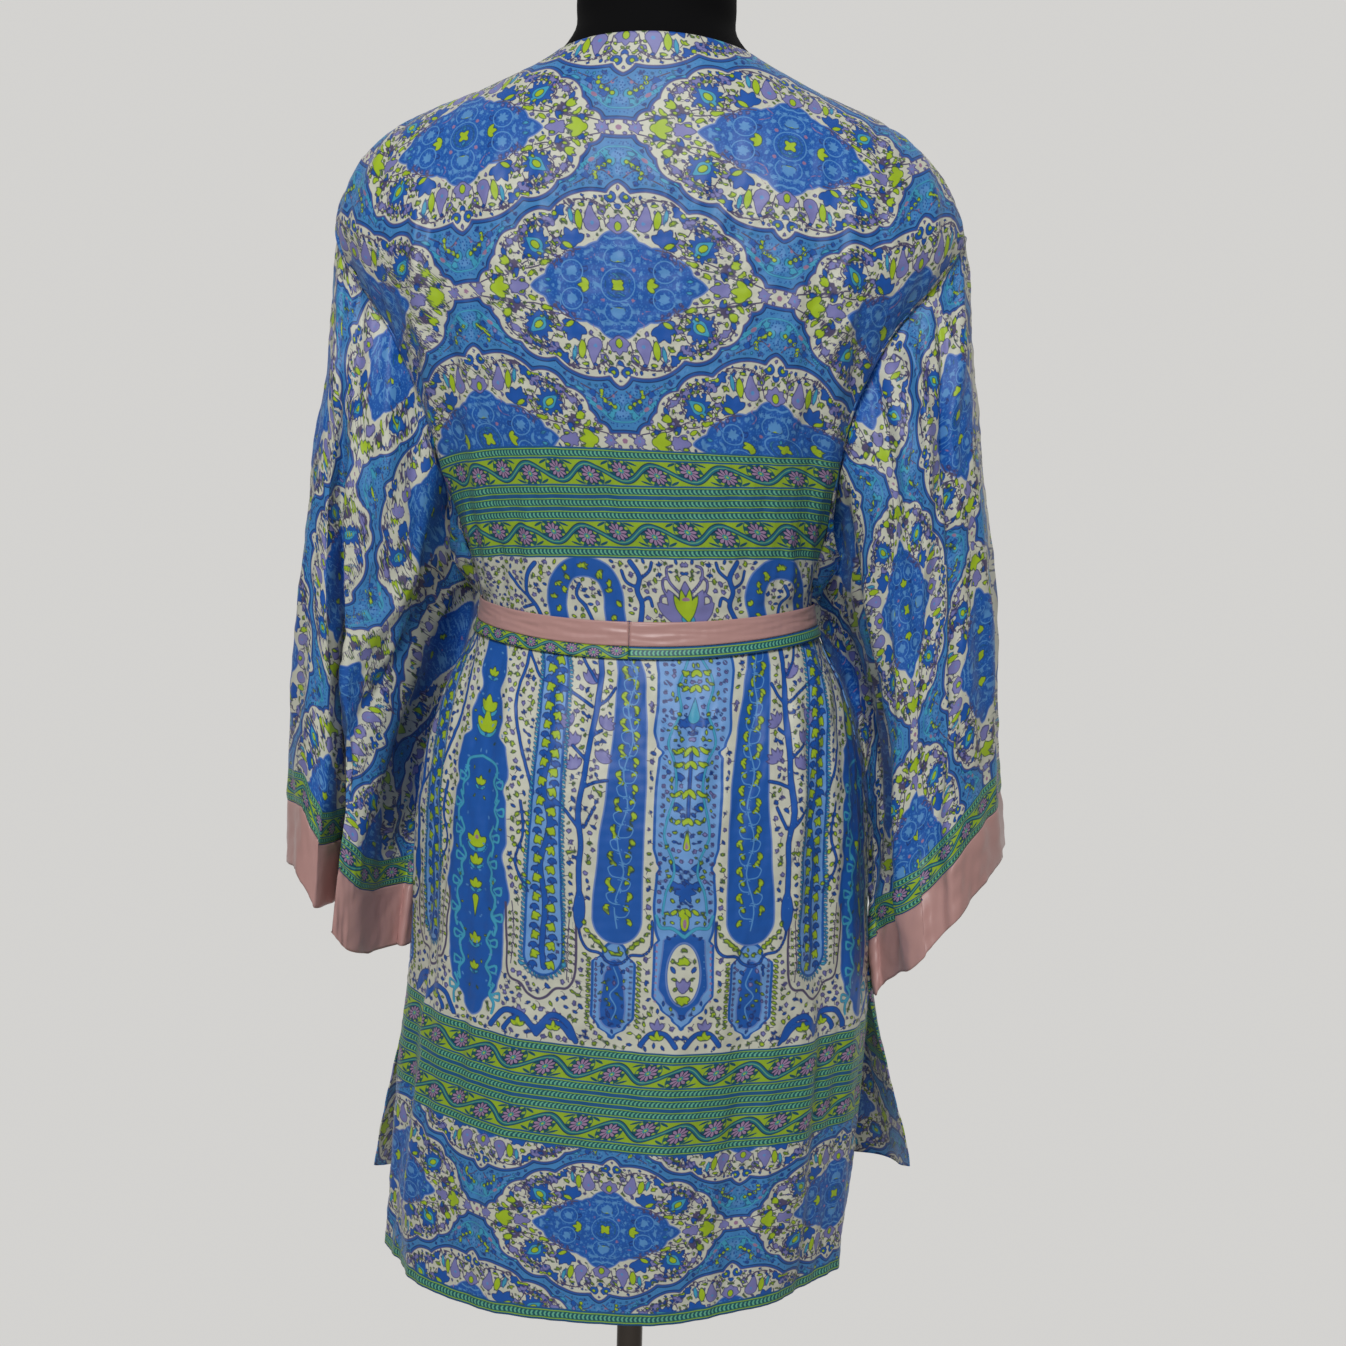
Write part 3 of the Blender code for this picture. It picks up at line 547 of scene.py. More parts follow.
LEFT_FRONT_CREASES = read_rows("""
22 150 30 340 5 11 3.6
50 200 46 385 4 11 -1.4
86 100 110 400 10 14 2.4
120 300 116 412 3 8 2.2
150 340 152 413 0 7 -1.4
60 350 64 412 2 8 2.4
182 330 190 410 2 8 2
34 462 22 590 3 9 2.8
66 460 60 540 2 7 -1.8
98 461 94 640 5 10 2.6
136 460 140 530 2 7 -1.5
176 462 182 610 4 10 2.4
14 670 0 855 3 13 4.4
62 620 56 860 5 16 -2.8
110 660 112 860 4 18 3.4
162 640 172 860 4 16 -2
210 600 226 860 5 15 3.2
""")
RIGHT_FRONT_CREASES = read_rows("""
26 140 30 350 5 11 3.4
56 220 50 390 4 11 -1.4
94 120 100 330 6 14 1.8
70 352 73 412 1 7 2.2
30 462 20 570 3 9 2.6
64 460 62 550 2 8 -1.6
94 461 88 600 3 9 2
12 670 -2 855 3 13 4.2
58 640 52 860 4 16 -2.6
94 680 92 860 3 14 2
""")
LEFT_SLEEVE_CREASES = read_rows("""
# The back half, from the armhole down
20 -405 75 -300 6 9 3.6
60 -395 118 -290 6 8 -3.4
92 -400 160 -270 8 10 4.2
135 -390 190 -250 6 9 -3.4
28 -300 20 40 4 10 -4
58 -260 48 46 5 10 3.6
196 -280 212 40 6 10 4.4
226 -240 240 30 4 9 -5
175 -180 186 46 -4 8 -3.4
262 -260 262 20 4 12 4
# The front half
-50 -380 -40 40 -6 12 4.4
-100 -390 -84 30 5 12 -4.4
-150 -360 -128 46 6 13 5
-200 -330 -176 40 4 11 -4
-250 -280 -226 30 4 12 4
""")
RIGHT_SLEEVE_CREASES = read_rows("""
16 -385 56 -290 5 9 3.6
50 -380 86 -250 6 8 -4.4
82 -385 124 -180 8 9 5.8
66 -320 106 -60 6 7 -7
120 -370 160 -220 6 9 -5
40 -260 44 36 4 10 3.4
14 -200 18 38 3 9 -3
150 -200 170 36 5 10 4.6
200 -280 206 30 4 10 -4.6
136 -120 140 38 3 7 -3
240 -260 242 20 4 12 4
-46 -370 -38 36 -6 12 4.2
-96 -380 -80 30 5 12 -4.4
-146 -350 -126 38 6 13 4.8
-196 -320 -174 36 4 11 -4
-246 -270 -224 30 4 12 4
""")


def outward_normals(points, middle_x):
    """Unit normals that point away from an upright line through (middle_x, 0)."""
    normals = grid_normals(points)
    away = normals[..., 0] * (points[..., 0] - middle_x) + normals[..., 1] * points[..., 1]
    return normals * (1.0 if away.mean() > 0 else -1.0)


def creased(points, flat, table, seed, uneven, still=1.0, middle_x=0.0):
    """Points moved along their normals by a table of creases and a little unevenness."""
    x, d = flat[..., 0], flat[..., 1]
    lift = creases_height(table, x, d) + ripple(x, d, seed, 0.060, 0.150, uneven)
    lift = lift + ripple(x, d, seed + 50, 0.018, 0.030, uneven * 0.35)
    return points + outward_normals(points, middle_x) * (lift * still)[..., None]


def beside_belt(down):
    """0 under the belt, where the cloth is held flat, and 1 away from it."""
    middle = BELT_TOP + (BELT_HEIGHT + TRIM_HEIGHT) / 2
    return ease((np.abs(down - middle) - 0.016) / 0.012)


def back_cloth(upper):
    rows, columns = BACK_GRID[:2] if upper else BACK_GRID[2:]
    down = np.linspace(0.0, UNDER_BELT, rows) if upper else np.linspace(UNDER_BELT, HEM_BACK, rows)
    side = side_angle(down, BACK_SLIT)
    angle = blend_columns(side, 180.0 - side, columns)
    points = lifted(angle, down[:, None], 0.0)
    return points, np.stack(np.broadcast_arrays(-arc_from(points, columns // 2), down[:, None]), axis=-1)


def front_cloth(left):
    down = np.linspace(0.0, HEM_FRONT, FRONT_GRID[0])
    angle = blend_columns(-side_angle(down, FRONT_SLIT), front_edge_left(down), FRONT_GRID[1])
    part_way = np.linspace(0.0, 1.0, FRONT_GRID[1] + 1)
    corner = np.clip(1.0 - part_way * FRONT_COLUMNS / 3.0, 0.0, 1.0) ** 2
    down = down[:, None] - HEM_CORNER * corner * ease((down[:, None] - 0.78) / (HEM_FRONT - 0.78))
    if left:
        points = lifted(angle, down, left_front_lift(angle, down))
    else:
        points = lifted(180.0 - angle, down, 0.0)
    return points, np.stack([arc_from(points, 0), down], axis=-1)


# The sleeves

def armhole_loop(left):
    """The armhole seam, from its top round the back to the underarm and the front."""
    downs = armhole_downs()
    back = armhole_angle(downs)
    angle = np.concatenate([back, -back[-2:0:-1]])
    down = np.concatenate([downs, downs[-2:0:-1]])
    turned = angle if left else 180.0 - angle
    points = robe_surface(turned, down)
    normals = normal_of(robe_surface, turned, down)
    if not left:
        points, normals = mirrored(points), mirrored(normals)
    return points, normals


def mirrored(points):
    return points * np.array([-1.0, 1.0, 1.0])


def fold_centre(row, share):
    return row["at_top"] + (row["at_cuff"] - row["at_top"]) * ease((share - 0.15) / 0.75)


def across_side(rows, share):
    """Where one side of a sleeve is sampled: at its folds' rims and floors, and between them."""
    marks = [0.0]
    for row in rows:
        centre = fold_centre(row, share)
        start = centre - 1.4 * row["spread"]
        for part in (0.35, 0.5):
            marks.append(marks[-1] + (start - marks[-1]) * part)
        marks += [centre + k * row["spread"] for k in (-1.4, -0.5, 0.5, 1.4)]
    last = marks[-1]
    marks += [last + (1.0 - last) * t for t in (0.3, 0.6, 0.85, 1.0)]
    return spread(marks, ARMHOLE_STEPS + 1)


def hanging_side(edges, folds, share, side):
    """One side of a sleeve's section, outer edge to inner edge."""
    rows = [dict(zip(SLEEVE_FOLD_COLUMNS, fold)) for fold in folds]
    rows = [row for row in rows if row["side"] == side]
    p = across_side(rows, share)
    outer, inner = (
        np.array([edges[f"{edge}_{axis}"](share) for axis in "xyz"]) for edge in ("outer", "inner")
    )
    deep = smooth_curve(SLEEVE_DEPTH, 1 if side == "back" else 2)(share)
    deep = deep * np.abs(np.sin(np.pi * p)) ** 0.55
    for row in rows:
        grown = row["deep"] * ease((share - row["start"]) / (0.95 - row["start"])) ** 0.7
        if row["start"] < 0:
            grown *= 1.0 - 0.6 * ease((share - 0.65) / 0.35)
        deep = deep - grown * np.exp(-(((p - fold_centre(row, share)) / row["spread"]) ** 4))
    deep = np.maximum(deep, 0.004 * np.sin(np.pi * p))
    points = outer + p[:, None] * (inner - outer)
    points[:, 1] += deep if side == "back" else -deep
    level, down = edges["slant"]
    start, end = level * ease(share), 1.0 + (down - 1.0) * ease(share)
    points[:, 2] = outer[2] + np.clip((p - start) / (end - start), 0.0, 1.0) * (inner[2] - outer[2])
    return points


def room_wanted(points, left, clear):
    """How far each point would have to move out, on the level, to clear the robe's body."""
    x, y, z = points.T * np.array([[1.0 if left else -1.0], [1.0], [1.0]])
    down = NECKLINE_Z - z  # a first guess, made better in steps
    power = ROUNDNESS / 2
    for _ in range(6):
        width, depth = (halves(RING, name, y > 0, down) for name in ("width", "y"))
        shift = halves(HANG, "shift", y > 0, down)
        c = np.sign(x - shift) * np.abs((x - shift) / width) ** power
        s = np.sign(y) * np.abs(y / depth) ** power
        angle = np.degrees(np.arctan2(s, c))
        body = robe_surface(angle, down)
        down = np.clip(down + (body[:, 2] - z), 0.15, HEM_FRONT)
    side = np.where(np.abs(angle) > 90.0, 180.0 - np.abs(angle), np.abs(angle))
    near = ease((side - armhole_angle(down) + 5.0) / 5.0)
    need = np.hypot(body[:, 0] - shift, body[:, 1]) + clear - np.hypot(x - shift, y)
    return np.maximum(need, 0.0) * near


def smoothed(values, weights):
    return np.convolve(np.pad(values, len(weights) // 2, mode="edge"), weights, mode="valid")


def beside_body(loop, left, clear):
    """A sleeve's section, shifted out as a whole from where the body first needs room."""
    need = room_wanted(loop[::FINER], left, clear)
    n = ARMHOLE_STEPS // FINER
    both = np.maximum(need[: n + 1], need[np.array([0, *range(2 * n - 1, n - 1, -1)])])
    both = np.maximum.accumulate(both)
    both = smoothed(both, (0.1, 0.2, 0.4, 0.2, 0.1)).clip(both)
    both = smoothed(spread(both, ARMHOLE_STEPS + 1), np.ones(2 * FINER + 1) / (2 * FINER + 1))
    shift = np.concatenate([both, both[-2:0:-1]])
    away = np.array([loop[ARMHOLE_STEPS][0], loop[ARMHOLE_STEPS][1], 0.0])
    return loop + shift[:, None] * away / np.linalg.norm(away)


def sleeve_loop(edges, folds, share, seam, seam_normals):
    """A sleeve's section at a share of its length, on the left."""
    back = hanging_side(edges, folds, share, "back")
    front = hanging_side(edges, folds, share, "front")
    hanging = np.concatenate([back, front[-2:0:-1]])
    free = min(share / 0.30, 1.0)
    free = free * (2.0 - free)
    turn = np.pi * np.arange(2 * ARMHOLE_STEPS) / ARMHOLE_STEPS
    valley = np.where(turn < np.pi, BACK_VALLEY, ARMHOLE_VALLEY)
    valley = valley * ease(share / 0.035) * ease((0.24 - share) / 0.17)
    valley = valley * np.abs(np.sin(turn)) ** 1.5
    loop = seam * (1 - free) + hanging * free - seam_normals * valley[:, None]
    if share == 0.0:
        return loop
    low = np.clip(-np.cos(turn), 0.0, 1.0) ** 4
    loop[:, 0] += UNDERARM_ARCH * low * ease(share / 0.06) * ease((0.40 - share) / 0.25)
    loop[:, 2] += UNDERARM_ARCH * low * ease(share / 0.025) * ease((0.09 - share) / 0.06)
    # Beside the waist the sleeve's inner edge hangs in towards the body
    beside_waist = np.exp(-(((loop[:, 2] - 1.005) / 0.055) ** 2))
    inward = LEFT_INWARD if edges["left"] else RIGHT_INWARD
    loop[:, 0] -= inward * low**0.25 * ease(share / 0.15) * beside_waist
    snug = 0.0 if edges["left"] else 0.5 * np.exp(-(((loop[ARMHOLE_STEPS, 2] - 1.01) / 0.045) ** 2))
    return beside_body(loop, edges["left"], SLEEVE_CLEAR * (1.0 - snug) * ease(share / 0.05))


def sleeve_cloth(left):
    """A sleeve with its cuff, opened along its underarm seam, and its flat cut.

    Across counts round from the sleeve's outer edge, and down is negative above the cuff's seam.
    """
    folds = LEFT_SLEEVE_FOLDS if left else RIGHT_SLEEVE_FOLDS
    edges = curves_of(LEFT_SLEEVE_EDGES if left else RIGHT_SLEEVE_EDGES, SLEEVE_EDGE_COLUMNS)
    edges["slant"] = LEFT_SLEEVE_SLANT if left else RIGHT_SLEEVE_SLANT
    edges["left"] = left
    cuff_shares = np.linspace(1.0, 1.0 + CUFF_SHARE, CUFF_ROWS)[1:]
    shares = np.concatenate([np.linspace(0.0, 1.0, SLEEVE_ROWS), cuff_shares])
    seam, seam_normals = armhole_loop(left)
    loops = np.stack([sleeve_loop(edges, folds, share, seam, seam_normals) for share in shares])
    n = ARMHOLE_STEPS
    points = loops[:, [*range(n, 2 * n), *range(0, n + 1)]]
    across = arc_from(points, n)
    step = np.linalg.norm(np.diff(points, axis=0), axis=-1)
    run = np.concatenate([np.zeros((1, points.shape[1])), np.cumsum(step, axis=0)], axis=0)
    down = run - run[SLEEVE_ROWS - 1]
    if not left:
        points = mirrored(points)
    return points, np.stack([across, down], axis=-1)

# The print, in millimetres of printed cloth
# Every drawn shape is a row: ink, shape, place u and v, turn in degrees, and two sizes a and b.

INKS = ("panel", "wash", "lilac", "bloom", "teal", "stem", "lime", "pale", "pink")
LINED = ("stem", "teal", "pale")  # inks whose thin lines are kept as a place across the line
FAR = 4.0
FIELDS = ("ink_a", "ink_b", "ink_c", "lines")  # three inks or lined inks in each attribute


def shape_oval(u, v, a, b):
    near = np.hypot(u / a, v / b)
    return near * (near - 1) / np.maximum(np.hypot(u / a**2, v / b**2), 1e-6)


def shape_disc(u, v, a, b):
    return np.hypot(u, v) - a


def shape_ring(u, v, a, b):
    return np.abs(np.hypot(u, v) - a) - b


def shape_leaf(u, v, a, b):
    radius = (a * a + b * b) / (2 * b)
    return np.hypot(u, np.abs(v) + radius - b) - radius


def shape_bar(u, v, a, b):
    return np.hypot(np.maximum(np.abs(u) - a, 0.0), v) - b


def shape_drop(u, v, a, b):
    """Round at its start and pointed at its end."""
    tip, u, v = 0.2, u + a - b, np.abs(v)
    slope = (b - tip) / (2 * a - b - tip)
    level = math.sqrt(1 - slope * slope)
    k = u * level - v * slope
    end = 2 * a - b - tip
    return np.where(k < 0, np.hypot(u, v) - b, np.where(k > level * end, np.hypot(u - end, v) - tip,
                                                        v * level + u * slope - b))


def shape_paisley(u, v, a, b):
    """A drop whose point bends aside."""
    return shape_drop(u, v - 0.45 * b * np.clip((u + 0.3 * a) / a, 0, 2) ** 2, a, b)


def shape_petals(u, v, a, b):
    """A flower of b petals."""
    return (np.hypot(u, v) - a * (0.76 + 0.24 * np.cos(b * np.arctan2(v, u)))) * 0.8


def shape_spiky(u, v, a, b):
    """A disc with b sharp points."""
    turn = np.abs(np.mod(np.arctan2(v, u) * b / (2 * np.pi), 1.0) * 2 - 1)
    return (np.hypot(u, v) - a * (0.62 + 0.38 * turn)) * 0.7


SHAPES = {
    "oval": shape_oval, "disc": shape_disc, "ring": shape_ring, "leaf": shape_leaf, "bar": shape_bar,
    "drop": shape_drop, "paisley": shape_paisley, "petals": shape_petals, "spiky": shape_spiky,
}
COUNTED = ("petals", "spiky")


def put(rows, x, y, turn=0.0, scale=1.0):
    """Rows moved, turned and scaled."""
    c, s = math.cos(math.radians(turn)), math.sin(math.radians(turn))
    return [
        (ink, shape, x + scale * (c * u - s * v), y + scale * (s * u + c * v), turn + t, a * scale,
         b if shape in COUNTED else b * scale)
        for ink, shape, u, v, t, a, b in rows
    ]


def fan(ink, count, apart, long, wide, shape="leaf"):
    """Leaves or petals from one point, the middle one along +u."""
    rows = []
    for k in range(count):
        aside = k - (count - 1) / 2
        half = long * (1 - 0.10 * abs(aside)) / 2
        rows += put([(ink, shape, half, 0, 0, half, wide)], 0, 0, aside * apart)
    return rows


def curve(ink, points, wide, steps=4):
    """A line of one width on a smooth curve through points."""
    points = np.array([points[0], *points, points[-1]], float)
    walk = []
    for p0, p1, p2, p3 in zip(points, points[1:], points[2:], points[3:]):
        for t in np.arange(steps) / steps:
            walk.append(0.5 * (2 * p1 + (p2 - p0) * t + (2 * p0 - 5 * p1 + 4 * p2 - p3) * t**2
                               + (3 * p1 - p0 - 3 * p2 + p3) * t**3))
    walk.append(points[-1])
    rows = []
    for (x0, y0), (x1, y1) in zip(walk, walk[1:]):
        turn = math.degrees(math.atan2(y1 - y0, x1 - x0))
        rows.append((ink, "bar", (x0 + x1) / 2, (y0 + y1) / 2, turn, math.hypot(x1 - x0, y1 - y0) / 2, wide))
    return rows


def arc_point(u, v, radius, half_turns):
    """A point on a circle round (u, v)."""
    return u + radius * math.cos(half_turns * math.pi), v + radius * math.sin(half_turns * math.pi)


def sprig(points, wide, bud, every, ink="lime", stem="stem", reach=3.2, both=True):
    """A stem with buds on short stalks to its sides."""
    rows = curve(stem, points, wide)
    run, side = 0.0, 1
    for row in list(rows):
        run += 2 * row[5]
        if run >= every:
            run = 0.0
            for way in ((1, -1) if both else (side,)):
                turn = row[4] + way * 62
                x = row[2] + reach * math.cos(math.radians(turn))
                y = row[3] + reach * math.sin(math.radians(turn))
                rows.append((stem, "bar", (x + row[2]) / 2, (y + row[3]) / 2, turn, reach / 2, wide * 0.7))
                rows.append((ink, "leaf", x, y, turn - way * 20, bud, bud * 0.62))
            side = -side
    return rows


def buds(points, bud=1.9, ink="lime"):
    """Small three-leaved buds, each turned its own way."""
    rows = []
    for k, (u, v) in enumerate(points):
        rows += put(fan(ink, 3, 48, bud * 2.1, bud * 0.5), u, v, 50 * k + 17 * (k % 3))
    return rows


TALL = {}


def tall(ink, points):
    """A closed form down the panel, from its rows of v, middle u and half width."""
    name = f"tall{len(TALL)}"
    TALL[name] = np.array(points, float).T
    return [(ink, name, 0, 0, 0, 0, 0)]


def sketch(text):
    """Drawn rows from entries parted by semicolons, each a kind, mostly an ink, and numbers.

    A shape has u, v, turn, a and b, or just u, v and a. A motif has its place for put. A fan has
    count, apart, long and wide, and then its place. A line has its width and points, a sprig its
    width, bud, spacing and points, and a tall form rows of v, middle and half width.
    """
    rows = []
    for entry in text.split(";"):
        kind, *words = entry.split()
        ink = words.pop(0) if words[0].isalpha() else "lime"
        given = [float(word) for word in words]
        if kind in MOTIFS:
            rows += put(MOTIFS[kind], *given)
        elif kind == "fan":
            rows += put(fan(ink, int(given[0]), *given[1:4]), *(given[4:] or (0, 0)))
        elif kind == "line":
            rows += curve(ink, np.reshape(given[1:], (-1, 2)), given[0])
        elif kind == "sprig":
            rows += sprig(np.reshape(given[3:], (-1, 2)), *given[:3], ink)
        elif kind == "buds":
            rows += buds(np.reshape(given[1:], (-1, 2)), given[0])
        elif kind == "tall":
            rows += tall(ink, np.reshape(given, (-1, 3)))
        else:
            u, v, turn, a, b = given if len(given) == 5 else (*given[:2], 0, given[2], 0)
            rows.append((ink, kind, u, v, turn, a, b))
    return rows


def drawn(u, v, rows, sheet=None):
    """Distances to the shapes of each ink, at points of the print, then places across thin lines."""
    sheet = blank(len(u)) if sheet is None else sheet
    order = np.argsort(v)
    level = v[order]
    for ink, shape, x, y, turn, a, b in rows:
        reach = (a if shape in COUNTED else max(a, b) + 0.3 * a) + FAR
        low, high = np.searchsorted(level, (y - reach, y + reach))
        near = order[low:high]
        near = near[np.abs(u[near] - x) < reach]
        if not len(near):
            continue
        c, s = math.cos(math.radians(turn)), math.sin(math.radians(turn))
        p, q = u[near] - x, v[near] - y
        p, q = c * p + s * q, c * q - s * p
        value = SHAPES[shape](p, q, a, b)
        k = INKS.index(ink)
        closer = value < sheet[near, k]
        sheet[near[closer], k] = value[closer]
        if shape == "bar" and ink in LINED:
            sheet[near[closer], len(INKS) + LINED.index(ink)] = np.clip(q[closer] / b, -6, 6)
    return sheet


def blank(count):
    return np.full((count, len(INKS) + len(LINED)), FAR)


# Small motifs

MOTIFS = {}
for name, text in (
    ("tulip", """fan lilac 3 42 8.5 2.2; disc lilac 0.5 0 2.2; disc stem 2.4 0 0.7"""),
    ("crown", """fan lime 3 42 10 2.2; disc lime 0.5 0 2.6"""),
    ("small_crown", """fan lime 3 44 6.4 1.4"""),
    ("maple", """fan bloom 5 40 9.6 2.1; disc bloom 0.6 0 2.6"""),
    ("star", """petals lilac 0 0 0 5.4 8; disc pale 0 0 1.1"""),
    ("bloom", """spiky bloom 0 0 0 11.2 12; drop teal 1.6 1.2 38 7.2 4.8; disc teal -4.2 -4.4 1.5;
     oval lime 0.3 0.2 38 3.6 2.4"""),
    ("curled", """paisley lilac 0 0 0 8.2 4.2; ring stem -3.6 0.2 0 2.1 0.35; disc pale -3.6 0.2 1.2;
     leaf lime 0.5 -6.2 12 6 2.1"""),
    ("fleur", """fan lilac 5 36 8.6 2.3; disc lilac 0 0 3.4; oval lime 1.2 0 0 2.9 2; disc stem 1.2 0 0.7"""),
    ("thistle", """spiky stem 0 0 20 6 9; disc lilac 0.5 0.4 1.5; fan lime 3 22 8.5 1.5  1.5 1.5 20"""),
    ("lotus", """fan pale 7 25 7 1.2; oval lime 0.6 0 90 4.4 1.5; oval stem -0.2 0 90 2.6 0.5"""),
    ("daisy", """petals pale 0 0 0 4.6 7; disc teal 0 0 1.1"""),
    ("berries", """disc lilac 0 0 1.8; disc lilac 3.2 0.6 1.8; disc lilac -3 0.8 1.8; disc lilac 1.4 -3 1.8;
     disc lilac -1.8 -2.8 1.8; disc lime -3.4 4.2 1.8; disc lime 0 4.6 1.8; disc lime 3.4 4.3 1.8"""),
):
    MOTIFS[name] = sketch(text)

# The lattice: a lobed cell, folded to one quarter, and the bells between cells

CELL_HALF = (110.0, 109.0)
CELL_LOBES = (
    (17, 27, 36.0), (52, 31, 19.5), (69, 22, 16.5), (80, 13, 10.5), (92, 5, 7.0), (40, 8, 42.0), (84, 0, 9.0),
)
MEDALLION = sketch("""
disc panel 0 22.5 15.3; disc panel 12 16 13.5; disc panel 25 11 14.6; disc panel 38 6 12.5;
leaf panel 43 0 0 18 9; oval panel 0 0 0 44 22
""")
CELL = MEDALLION + sketch("""
petals lime 0 0 45 5.4 4; disc stem 0 2.2 0.7; disc stem 2.2 0 0.7; ring teal 0 0 0 8.4 0.45;
disc pink 10.5 10.5 1.5; disc pale 0 26.5 1; leaf pale 51 0 0 3 1.2; small_crown 19.5 0 0 1.35;
lotus 0 16.5 90 1.15; daisy 31.5 9.5 20; disc pale 45 0 1.3;
line pink 0.4  15 32  18 28  14 24  17 19  23 17; line pale 0.7  0 32.5  4 31.2  8 32.6;
fan pale 3 50 4 0.9  20 21 40; fan pale 3 40 4.4 0.9  40 9 20; fan pale 3 44 3.8 0.8  6 25 120;
fan bloom 3 44 4.6 1  22 9 60; fan pale 3 40 3.6 0.8  52 2 10; tulip 72 0 180 1.25; tulip 70 0 0 0.9;
crown 88 0 180 1.25; star 99.5 0 22; disc pink 110 0 2; disc lilac 106 4.2 1.4; bloom 56 27;
thistle 74 14 10; maple 30 28 62 1.3; maple 43 52 215 0.95; curled 18.5 46 72 1.25;
fleur 0 38.5 90 1.15; berries 46 44; tulip 41.5 27 100 0.7; star 74 29.5 0 0.65;
leaf teal 31.5 47 80 6.5 1.5; leaf bloom 79 23 70 4 1.7; leaf lime 34 27 28 4.4 1.9;
leaf lime 50 15.5 -35 3.4 1.7; leaf lime 60 8.5 -35 3.6 1.7; leaf lime 84 12 60 3.4 1.5;
leaf lime 67 4 10 2.6 1.2; disc bloom 5 59.5 3.9; disc lime 5 59.5 1.7; leaf lilac 0 66 90 2.4 1.1;
disc lilac 11 60 1.3; disc lilac 90 15 1.5; disc lime 93 10 1.3; disc pink 66 33 1.1;
leaf lime 24 54 10 3 1.2; sprig lime 0.4 1.7 3  52 42  60 41  68 34;
line stem 0.5  38 36  42 25  49 16  60 12  73 12  86 8  97 5;
line stem 0.45  12 53  21 57  33 57  44 50; sprig lilac 0.45 1.7 4.5  75 18  80 24  76 32  67 38;
sprig bloom 0.4 1.8 6  8 52  20 58  36 54  48 45  60 44  70 34;
sprig lilac 0.4 1.7 4  24 38  27 48  36 56; sprig lime 0.45 1.9 5.5  40 20  50 19  64 16  78 8  92 9;
sprig bloom 0.4 1.6 3.6  46 34  50 40  58 38; sprig lilac 0.4 1.6 4.2  62 22  68 26  66 34  60 40;
sprig lime 0.4 1.5 3.8  36 28  44 32  46 24; maple 70 9 20 0.5; maple 86 6.5 60 0.42;
fleur 10 49 60 0.5; sprig lilac 0.4 1.8 4.2  26 24  36 22  44 14;
sprig lime 0.4 1.6 3.6  8 40  10 52  6 57; tulip 63 36 60 0.65; tulip 30 43 100 0.6
""")
CELL += curve("pale", [arc_point(31.5, 9.5, 7.6, k / 6) for k in range(13)], 0.4, 2)
CELL += curve("pale", [arc_point(0, 0, 11.5, k / 12) for k in range(7)], 0.4, 2)
CELL += curve("pale", [(9.5 * math.sin(k * math.pi / 7), 18.5 - 8.0 * math.cos(k * math.pi / 7))
                       for k in range(2, 8)], 0.4, 2)
# BELL's own middle line is u = 0, and v counts from the crossing of two cells' tips
BELL = sketch("""
fan pale 3 40 8 1.7  0 17 90; line teal 0.5  0 14  8 15  15 21  24 28; petals teal 8 19 0 3.2 5;
petals bloom 21 35 0 3.4 6; leaf bloom 3 24 60 3.4 1.4; maple 9 26 20 0.65;
fan teal 3 30 8 1.6  2 22 40; leaf pink 17 24 40 3 1.4; leaf pale 24 33 20 4 1.3;
leaf teal 30 38 30 4.5 1.3; leaf lilac 20 30 70 3.4 1.5; leaf pale 0 31 90 4.5 1.8; disc pink 6 33 1.3;
line teal 0.6  12 20  20 27  29 34  38 40; line stem 0.5  4 36  11 31  19 36  28 41
""")
BELL += [("pale", "disc", 15 * math.sin(k * 0.3), 26 - 15 * math.cos(k * 0.3), 0, 0.7, 0) for k in range(6)]
BELL += sketch("""disc lime 5.5 25 1.7; disc lime 9 27.5 1.7; disc lime 12.5 29.5 1.7; disc lime 15 33 1.7;
disc lime 14.5 36.5 1.7""")


def cell_outline(u, v):
    """How far outside a cell a place of its folded quarter is."""
    out = np.full(len(u), 99.0)
    for x, y, r in CELL_LOBES:
        out = np.minimum(out, np.hypot(u - x, v - y) - r)
    out = np.minimum(out, shape_leaf(v - 57.0, u, 12.0, 8.0))
    return np.minimum(out, shape_oval(u - CELL_HALF[0], v, 19.0, 5.6))


def filler(kind, u, v, turn, r):
    """A small motif of radius r: sprays of leaves, a bud or a little flower."""
    ink = kind.split()[-1]
    if kind.startswith("spray"):
        rows = fan(ink, 3, 46, r * 1.75, r * 0.34) + [("stem", "bar", -r * 0.2, 0, 0, r * 0.6, 0.25)]
        back = math.radians(turn)
        return put(rows, u - r * 0.7 * math.cos(back), v - r * 0.7 * math.sin(back), turn)
    if kind.startswith("flower"):
        return [(ink, "petals", u, v, turn, r * 0.95, 5), ("stem", "disc", u, v, 0, r * 0.26, 0)]
    return [(ink, "leaf", u, v, turn, r * 1.05, r * 0.5)]


def filled_in(rows, box, kinds, sizes, seed, room, tries=2600, apart=0.3):
    """Small motifs thrown, largest first, on the ground that is still free within a region."""
    rng = np.random.default_rng(seed)
    u, v = rng.uniform(box[0], box[1], tries), rng.uniform(box[2], box[3], tries)
    free = np.minimum(drawn(u, v, rows)[:, : len(INKS)].min(axis=1), room(u, v))
    made, places = [], np.zeros((0, 3))
    for size in sizes:
        for k in np.nonzero(free > size + 0.35)[0]:
            apart_now = np.hypot(places[:, 0] - u[k], places[:, 1] - v[k])
            if (apart_now < places[:, 2] + size + apart).any():
                continue
            places = np.vstack([places, (u[k], v[k], size)])
            made += filler(kinds[rng.integers(len(kinds))], u[k], v[k], rng.uniform(0, 360), size)
    return made


